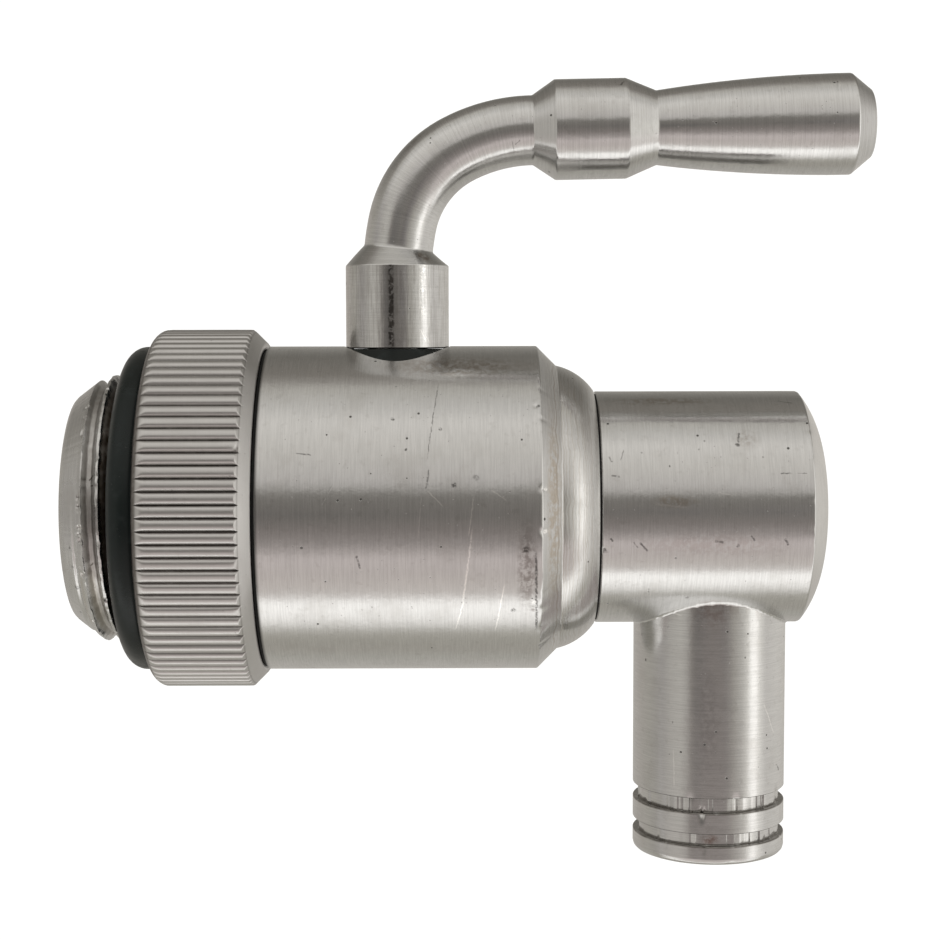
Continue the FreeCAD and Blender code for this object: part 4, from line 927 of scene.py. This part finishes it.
nicks = [(43.95, 11.2, 0.25, 0.22, 0.16), (44.0, -2.9, 0.30, 0.30, 0.20), (44.0, 49.0, 0.2, 0.3, 0.12),
         (45.2, 55.0, 0.35, 0.2, 0.10), (43.9, -50.0, 0.2, 0.4, 0.14), (43.85, -31.0, 0.2, 0.5, 0.12),
         (43.9, -40.0, 0.18, 0.7, 0.10), (43.8, -18.0, 0.14, 0.9, 0.07), (43.9, 36.0, 0.2, 0.25, 0.10),
         (43.1, -30.7, 0.22, 0.25, 0.10), (42.6, -31.5, 0.16, 0.3, 0.08), (43.4, 41.0, 0.22, 0.2, 0.10)]
for _ in range(26):
    nicks.append((43.9 + body_gen.uniform(-0.05, 0.08), body_gen.uniform(-180, 180),
                  body_gen.uniform(0.06, 0.16), body_gen.uniform(0.1, 0.5), body_gen.uniform(0.02, 0.09)))
outside = (np.hypot(P[..., 1], P[..., 2]) > 11.0) & (P[..., 0] > 40)
P = radial(P, dents(P, nicks, radius=16.0) * outside)
valve_body = build("valve_body_turned", P, True)
cut(valve_body, [
    cylinder("cut_a", [(0.0, 4.35), (11.0, 4.35), (11.0, 3.05), (14.15, 3.05), (14.15, 5.28),
                       (20.0, 5.28)], "Z", (HUB_X, 0.0), 128)])
place(valve_body, steel_body, "tap", "valve_body")

# ---- spout elbow
dome1 = arc_points((69.65, 11.48), (71.68, 7.18), 10.3, -1, 10)
dome2 = arc_points((71.68, 7.18), (72.42, 0.02), 34.9, -1, 6)
profile = [(41.9, 5.0, 1), (41.9, 8.7, 0), (42.2, 9.0, 0), (45.6, 9.0, 1), (45.6, 7.7, 1),
           (47.4, 7.7, 1), (47.4, 9.0, 1), (49.7, 9.0, 1), (49.7, 11.38, 0), (49.8, 11.48, 0),
           (69.65, 11.48, 1)]
profile += [(a, r, 0) for a, r in dome1] + [(71.68, 7.18, 0)] + [(a, r, 0) for a, r in dome2]
outer_rows = lay(profile, edge=0.06, step=0.8, closed=False)
inner = lay([(OUT_X + 7.4, 0.2, 0), (OUT_X + 4.6, 5.0, 1), (41.9, 5.0, 0)], edge=0.06, step=1.5,
            closed=False)
rows_e = np.concatenate([inner, outer_rows[1:]])
P = turned_x(rows_e, np.arange(480) / 480 * 2 * math.pi)
elbow_gen = np.random.default_rng(55)
nicks = [(69.7, -12.0, 0.12, 0.4, 0.05), (49.8, -15.4, 0.25, 0.3, 0.10)]
for _ in range(22):
    nicks.append((69.65 + elbow_gen.uniform(-0.05, 0.05), elbow_gen.uniform(-180, 180),
                  elbow_gen.uniform(0.08, 0.2), elbow_gen.uniform(0.15, 0.6), elbow_gen.uniform(0.015, 0.05)))
outside = (np.hypot(P[..., 1], P[..., 2]) > 10.5)
P = radial(P, dents(P, nicks, radius=11.48) * outside)
elbow = build("spout_elbow_turned", P, False, (OUT_X + 7.6, 0, 0), (72.42, 0, 0))
cut(elbow, [
    cylinder("cut_b", [(-15.0, 7.56), (-6.3, 7.56), (-6.3, 5.0), (0.0, 5.0)], "Z",
             (OUT_X, 0.0), 160)])

# Thin, uneven fillet of brazing metal round the tube where it enters the elbow.
n = 420
t = np.arange(n) / n * 2 * math.pi
f1, f2, f3 = waves(16, 61, 2, 40), waves(22, 62, 12, 110), waves(14, 63, 4, 60)
tx, ty = 7.54 * np.sin(t), -7.54 * np.cos(t)
tz = -np.sqrt(11.48 ** 2 - ty ** 2)
centre = np.stack([OUT_X + tx, ty, tz], -1)
out_t = np.stack([np.sin(t), -np.cos(t), np.zeros(n)], -1)
out_e = np.stack([np.zeros(n), ty / 11.48, tz / 11.48], -1)
size = np.clip(0.16 + 0.07 * f1(t) + 0.05 * f2(t), 0.05, 0.30)
m = 9
P = np.zeros((m, n, 3))
lift = 0.02
for i in range(m):
    s = i / (m - 1)
    if i < m - 1:
        w = i / (m - 2)
        curve = (1 - w) ** 2 * out_e * 0 + out_t * ((1 - w) ** 1.7)[..., None] if False else None
    wgt = s
    # concave section from a point on the elbow to a point on the tube
    a_pt = centre + out_t * (size * 1.15)[:, None]
    # keep that point on the elbow's surface
    ya = a_pt[:, 1]
    a_pt[:, 2] = -np.sqrt(11.48 ** 2 - ya ** 2)
    b_pt = centre - np.array([0, 0, 1.0]) * (size * 1.0 + 0.03 * np.abs(f3(t)))[:, None]
    mid = centre + out_t * (size * 0.22)[:, None] - np.array([0, 0, 1.0]) * (size * 0.22)[:, None]
    P[i] = (1 - s) ** 2 * a_pt + 2 * s * (1 - s) * mid + s * s * b_pt
inner_ring = centre - out_t * 0.10 + np.array([0, 0, 1.0]) * 0.10
P = np.concatenate([P, inner_ring[None]])
bead = build("bead", P, True, angle=60.0)
bead_mesh = bead.data
bm = bmesh.new()
bm.from_mesh(elbow.data)
bm.from_mesh(bead_mesh)
bm.to_mesh(elbow.data)
bm.free()
bpy.data.objects.remove(bead)
bpy.data.meshes.remove(bead_mesh)
elbow.data.polygons.foreach_set("use_smooth", [True] * len(elbow.data.polygons))
elbow.data.set_sharp_from_angle(angle=math.radians(40))
place(elbow, steel_spout, "tap", "spout_elbow")

# ---- outlet tube
cols = 540
ang = np.arange(cols) / cols * 2 * math.pi
profile = [(-6.35, 5.3, 1), (-6.35, 7.24, 0), (-6.65, 7.54, 0), (-27.80, 7.54, 1.2), (-27.80, 6.96, 1),
           (-29.26, 6.96, 1), (-29.26, 7.54, 1), (-31.30, 7.54, 1.2), (-31.30, 6.96, 1),
           (-32.52, 6.96, 1), (-32.52, 7.54, 1), (-33.80, 7.54, 0), (-34.10, 7.46, 0),
           (-34.30, 7.28, 0), (-34.40, 7.02, 0), (-34.40, 5.6, 0), (-34.1, 5.3, 0)]
rows_t = lay(profile, edge=0.045, step=0.8)
P = np.zeros((len(rows_t), cols, 3))
for i, (a, r) in enumerate(rows_t):
    P[i, :, 0] = OUT_X + r * np.sin(ang)
    P[i, :, 1] = -r * np.cos(ang)
    P[i, :, 2] = a
# The tool chattered in the grooves: their floors are short flats.
z_all = P[..., 2]
r_all = np.hypot(P[..., 0] - OUT_X, P[..., 1])
tube_gen = np.random.default_rng(77)
dr = np.zeros(P.shape[:2])
for low, high, seed in ((-29.26, -27.80, 1), (-32.52, -31.30, 2)):
    gen = np.random.default_rng(80 + seed)
    edges = np.sort(gen.uniform(0, 2 * math.pi, 46))
    which = np.searchsorted(edges, ang) % 46
    tilt = gen.uniform(-0.30, 0.30, 46)[which]
    depth = gen.uniform(-0.05, 0.05, 46)[which]
    centre_a = np.array([(edges[k - 1] + edges[k % 46]) / 2 if k else edges[0] for k in range(46)])[which]
    local = wrap(ang - centre_a) * 6.96
    floor = (z_all > low - 0.01) & (z_all < high + 0.01) & (r_all < 7.2)
    dr += floor * (depth + np.clip(tilt * local, -0.06, 0.06))[None, :]
P = radial(P, dr, "Z", OUT_X)
nicks = [(-29.3, -12.0, 0.15, 0.3, 0.22), (-29.35, -30.0, 0.1, 0.5, 0.06), (-32.6, -10.0, 0.1, 0.25, 0.08),
         (-27.75, 55.0, 0.12, 0.4, 0.08), (-34.2, 10.0, 0.2, 0.8, 0.05)]
for _ in range(20):
    nicks.append((tube_gen.choice([-29.28, -31.28, -27.78, -32.54, -34.2]), tube_gen.uniform(-180, 180),
                  tube_gen.uniform(0.05, 0.14), tube_gen.uniform(0.1, 0.5), tube_gen.uniform(0.015, 0.06)))
outside = np.hypot(P[..., 0] - OUT_X, P[..., 1]) > 6.7
P = radial(P, dents(P, nicks, "Z", OUT_X, 7.54) * outside, "Z", OUT_X)
tube = build("outlet_tube_turned", P, True)
place(tube, steel_tube, "tap", "outlet_tube")

# ---- lever
def path_at(s):
    """Point and heading s mm along the bend, from its start on the hub axis."""
    x, z, h = 0.0, 22.81, math.pi / 2
    for radius, degrees in ((25.8, 11.84), (10.52, 50.95), (16.65, 26.18)):
        full = math.radians(degrees)
        part = min(max(s / radius, 0.0), full)
        after = h - part
        x += radius * (math.sin(h) - math.sin(after))
        z += radius * (math.cos(after) - math.cos(h))
        h = after
        s -= radius * full
        if s <= 0:
            return x, z, h
    return x + s * math.cos(h), z + s * math.sin(h), h


stations = []
hub = [(22.7, 0.3, 0), (21.9, 3.02, 0), (15.80, 3.02, 1), (15.80, 4.96, 0), (15.92, 5.08, 0),
       (23.88, 5.08, 1)]
for a, r in lay(hub, edge=0.05, step=0.35, closed=False)[:-1]:
    stations.append((0.0, a, math.pi / 2, r, a))
x1, z1, h1 = path_at(2.765)
for k, w in enumerate((0.0, 0.03, 0.06, 0.25, 0.5, 0.75, 0.94, 0.975)):
    if k == 0:
        stations.append((0.0, 23.84, math.pi / 2, 5.08, 23.84))
        stations.append((0.0, 23.92, math.pi / 2, 5.04, 23.92))
        continue
    stations.append((x1 * w, 23.88 + (z1 - 23.88) * w, math.pi / 2 + (h1 - math.pi / 2) * w,
                     5.08 + (3.39 - 5.08) * w, 23.88 + 1.69 * w))
grip = [(0.0, 3.39, 1), (2.20, 4.88, 1), (9.15, 4.88, 1), (12.15, 3.62, 1)]
flare = arc_points((12.15, 3.62), (29.70, 4.93), 140.0, -1, 20)
grip += [(a, r, 0) for a, r in flare]
grip += [(29.70, 4.93, 0.8), (31.20, 4.93, 1.2), (33.20, 3.30, 1.2), (33.20, 0.3, 0)]
total = 22.294
bend = list(np.arange(2.86, total - 0.15, 0.30))
for s in bend:
    x, z, h = path_at(s)
    stations.append((x, z, h, 3.39, 25.575 + s - 2.765))
for a, r in lay([(-0.3, 3.39, 0)] + grip, edge=0.06, step=0.45, closed=False)[1:]:
    x, z, h = path_at(total + a)
    stations.append((x, z, h, r, GRIP0 + a))
cols = 160
psi = np.arange(cols) / cols * 2 * math.pi
P = np.zeros((len(stations), cols, 3))
UV = np.zeros((len(stations), cols, 2))
lev = waves(18, 91, 2, 30)
for i, (x, z, h, r, s) in enumerate(stations):
    # handling has left the bar a few hundredths uneven
    rr = r - (0.012 * np.abs(lev(psi + s * 0.35)) if r > 3.1 else 0.0)
    P[i, :, 0] = HUB_X + x + rr * np.cos(psi) * (-math.sin(h))
    P[i, :, 1] = -rr * np.sin(psi)
    P[i, :, 2] = z + rr * np.cos(psi) * math.cos(h)
    UV[i, :, 0] = s / 100.0
    UV[i, :, 1] = psi / (2 * math.pi)
tip = path_at(total + 33.20)
lever = build("lever_handle_turned", P, False, (HUB_X, 0, 22.75), (HUB_X + tip[0], 0, tip[1]), uv=UV)
cut(lever, [cylinder("cut_c", [(2.0, 1.27), (8.0, 1.27)], "Y", (HUB_X, 19.0), 48)])
place(lever, steel_lever, "lever", "lever_handle")

# ------------------------------------------------- finishes of the CAD pieces
FINISH = {
    "inlet_face_oring": rubber_ring, "coupling_oring_front": rubber_ring,
    "coupling_oring_rear": rubber_ring, "nipple_oring": rubber_ring, "spout_oring": rubber_ring,
    "stem_oring_lower": rubber_ring, "stem_oring_upper": rubber_ring, "stem_seal": rubber_seal,
    "swivel_washer": rubber_washer, "spout_gasket": rubber_washer,
    "inlet_nipple": steel_plain, "coupling_circlip": steel_spring,
    "coupling_thrust_washer": steel_plain, "inlet_seat": white_seat, "outlet_seat": white_seat,
    "stem_thrust_washer": white_seat, "ball": steel_ball, "stem": steel_stem,
    "lever_set_screw": steel_spring,
}
for name, material in FINISH.items():
    node = nodes[name]
    if not node.material_slots:
        node.data.materials.append(material)
    for slot in node.material_slots:
        slot.material = material

# ----------------------------------------------------------- floor and light
floor_mesh = bpy.data.meshes.new("floor")
ring = 96
fv = [(0.03, 0.0, -0.064)]
ff = []
SWEEP = ((0.25, 0.0), (0.5, 0.0), (0.8, 0.005), (1.1, 0.05), (1.35, 0.16), (1.55, 0.34),
         (1.68, 0.6), (1.75, 1.0), (1.78, 1.8))
for k, (rad, rise) in enumerate(SWEEP):
    for j in range(ring):
        a = j / ring * 2 * math.pi
        fv.append((0.03 + rad * math.cos(a), rad * math.sin(a), -0.064 + rise))
for j in range(ring):
    ff.append((0, 1 + j, 1 + (j + 1) % ring))
for k in range(len(SWEEP) - 1):
    for j in range(ring):
        a0, a1 = 1 + k * ring + j, 1 + k * ring + (j + 1) % ring
        ff.append((a0, a0 + ring, a1 + ring, a1))
floor_mesh.from_pydata(fv, [], ff)
floor_mesh.polygons.foreach_set("use_smooth", [True] * len(floor_mesh.polygons))
floor = bpy.data.objects.new("floor", floor_mesh)
scene.collection.objects.link(floor)
F = Material("floor_pale")
F.set("Base Color", F.mix(F.noise(F.mm, 0.02, 2.0, 0.5), (0.30, 0.30, 0.298, 1.0), (0.28, 0.28, 0.278, 1.0)))
F.set("Roughness", 0.9)
F.set("Specular IOR Level", 0.1)
F.set("Emission Color", (1.0, 1.0, 0.995, 1.0))
F.set("Emission Strength", 0.80)
floor_mesh.materials.append(F.mat)
floor.visible_glossy = False

world = bpy.data.worlds.new("studio")
scene.world = world
world.use_nodes = True
W = Tree(world.node_tree)
W.t.nodes.clear()
w_out = W.new("ShaderNodeOutputWorld")
coords = W.new("ShaderNodeTexCoord")
dx, dy, dz = W.split(coords.outputs["Generated"])
toward = W.m("MULTIPLY", dy, -1.0)
tilt = W.m("ARCTAN2", dz, toward)
side = W.m("ARCTAN2", dx, toward)


def sky(fac_angle, table, top=1.6):
    fac = W.m("ADD", W.m("DIVIDE", fac_angle, 2 * math.pi), 0.5)
    stops = []
    for deg, (r, g, b) in table:
        stops.append(((deg + 180) / 360.0,
                      tuple(1.025 * (c / 0.64) ** 1.000 / top for c in (r, g, b)) + (1.0,)))
    return W.ramp(fac, stops)


TILT = [
    (-180, (0.30, 0.285, 0.265)), (-141, (0.33, 0.315, 0.29)), (-125, (0.31, 0.30, 0.27)),
    (-114, (0.29, 0.275, 0.245)), (-101, (0.30, 0.288, 0.255)), (-94, (0.34, 0.325, 0.29)),
    (-89, (0.45, 0.435, 0.405)), (-84, (0.64, 0.62, 0.59)), (-78, (0.80, 0.78, 0.75)),
    (-71, (0.90, 0.88, 0.85)), (-65, (0.88, 0.86, 0.83)), (-61, (0.64, 0.61, 0.585)),
    (-57, (0.48, 0.445, 0.42)), (-50, (0.455, 0.415, 0.39)), (-42, (0.42, 0.38, 0.36)),
    (-31, (0.45, 0.405, 0.39)), (-26, (0.35, 0.315, 0.30)), (-20, (0.245, 0.22, 0.208)),
    (-11, (0.175, 0.155, 0.145)), (-2, (0.148, 0.136, 0.124)), (11, (0.150, 0.140, 0.128)),
    (15, (0.185, 0.175, 0.16)), (18.5, (0.33, 0.315, 0.295)), (24, (0.41, 0.39, 0.37)),
    (44, (0.475, 0.455, 0.425)), (66, (0.535, 0.515, 0.485)), (80, (0.44, 0.425, 0.40)),
    (97, (0.35, 0.335, 0.305)), (103, (0.24, 0.225, 0.205)), (111, (0.165, 0.152, 0.135)),
    (140, (0.125, 0.118, 0.105)), (180, (0.24, 0.23, 0.21)),
]
SIDE = [
    (-180, (0.33, 0.31, 0.285)), (-150, (0.33, 0.305, 0.28)), (-110, (0.30, 0.285, 0.255)),
    (-82, (0.27, 0.255, 0.24)), (-68, (0.33, 0.315, 0.29)), (-50, (0.38, 0.365, 0.335)),
    (-40, (0.33, 0.315, 0.29)), (-33, (0.18, 0.165, 0.15)), (-26, (0.12, 0.112, 0.105)),
    (0, (0.110, 0.103, 0.097)), (8, (0.125, 0.115, 0.11)), (18, (0.18, 0.168, 0.16)),
    (30, (0.31, 0.295, 0.265)), (44, (0.42, 0.405, 0.375)), (53, (0.58, 0.56, 0.52)),
    (60, (0.95, 0.93, 0.89)), (68, (1.0, 0.97, 0.93)), (75, (0.65, 0.63, 0.59)),
    (86, (0.48, 0.46, 0.435)), (116, (0.50, 0.48, 0.45)), (145, (0.45, 0.43, 0.40)),
    (180, (0.33, 0.31, 0.285)),
]
by_tilt = sky(tilt, TILT)
by_side = sky(side, SIDE)
abs_x, abs_z = W.m("ABSOLUTE", dx), W.m("ABSOLUTE", dz)
weight = W.band(W.m("DIVIDE", abs_x, W.m("ADD", W.m("ADD", abs_x, abs_z), 0.02)), 0.45, 0.85)
lit = W.mix(weight, by_tilt, by_side)
back_metal = W.new("ShaderNodeBackground")
W.put(back_metal.inputs[0], lit)
back_metal.inputs[1].default_value = 1.6
back_seen = W.new("ShaderNodeBackground")
back_seen.inputs[0].default_value = (0.985, 0.985, 0.98, 1.0)
back_seen.inputs[1].default_value = 1.0
path = W.new("ShaderNodeLightPath")
mixer = W.new("ShaderNodeMixShader")
W.put(mixer.inputs[0], path.outputs["Is Camera Ray"])
W.t.links.new(back_metal.outputs[0], mixer.inputs[1])
W.t.links.new(back_seen.outputs[0], mixer.inputs[2])
W.t.links.new(mixer.outputs[0], w_out.inputs[0])

soft_data = bpy.data.lights.new("softbox", "AREA")
soft_data.shape = "RECTANGLE"
soft_data.size = 0.9
soft_data.size_y = 0.7
soft_data.energy = 1.2
soft_light = bpy.data.objects.new("softbox", soft_data)
scene.collection.objects.link(soft_light)
soft_light.location = (0.0, -0.15, 0.75)
soft_light.rotation_euler = (math.radians(-11), 0, 0)
soft_light.visible_glossy = False
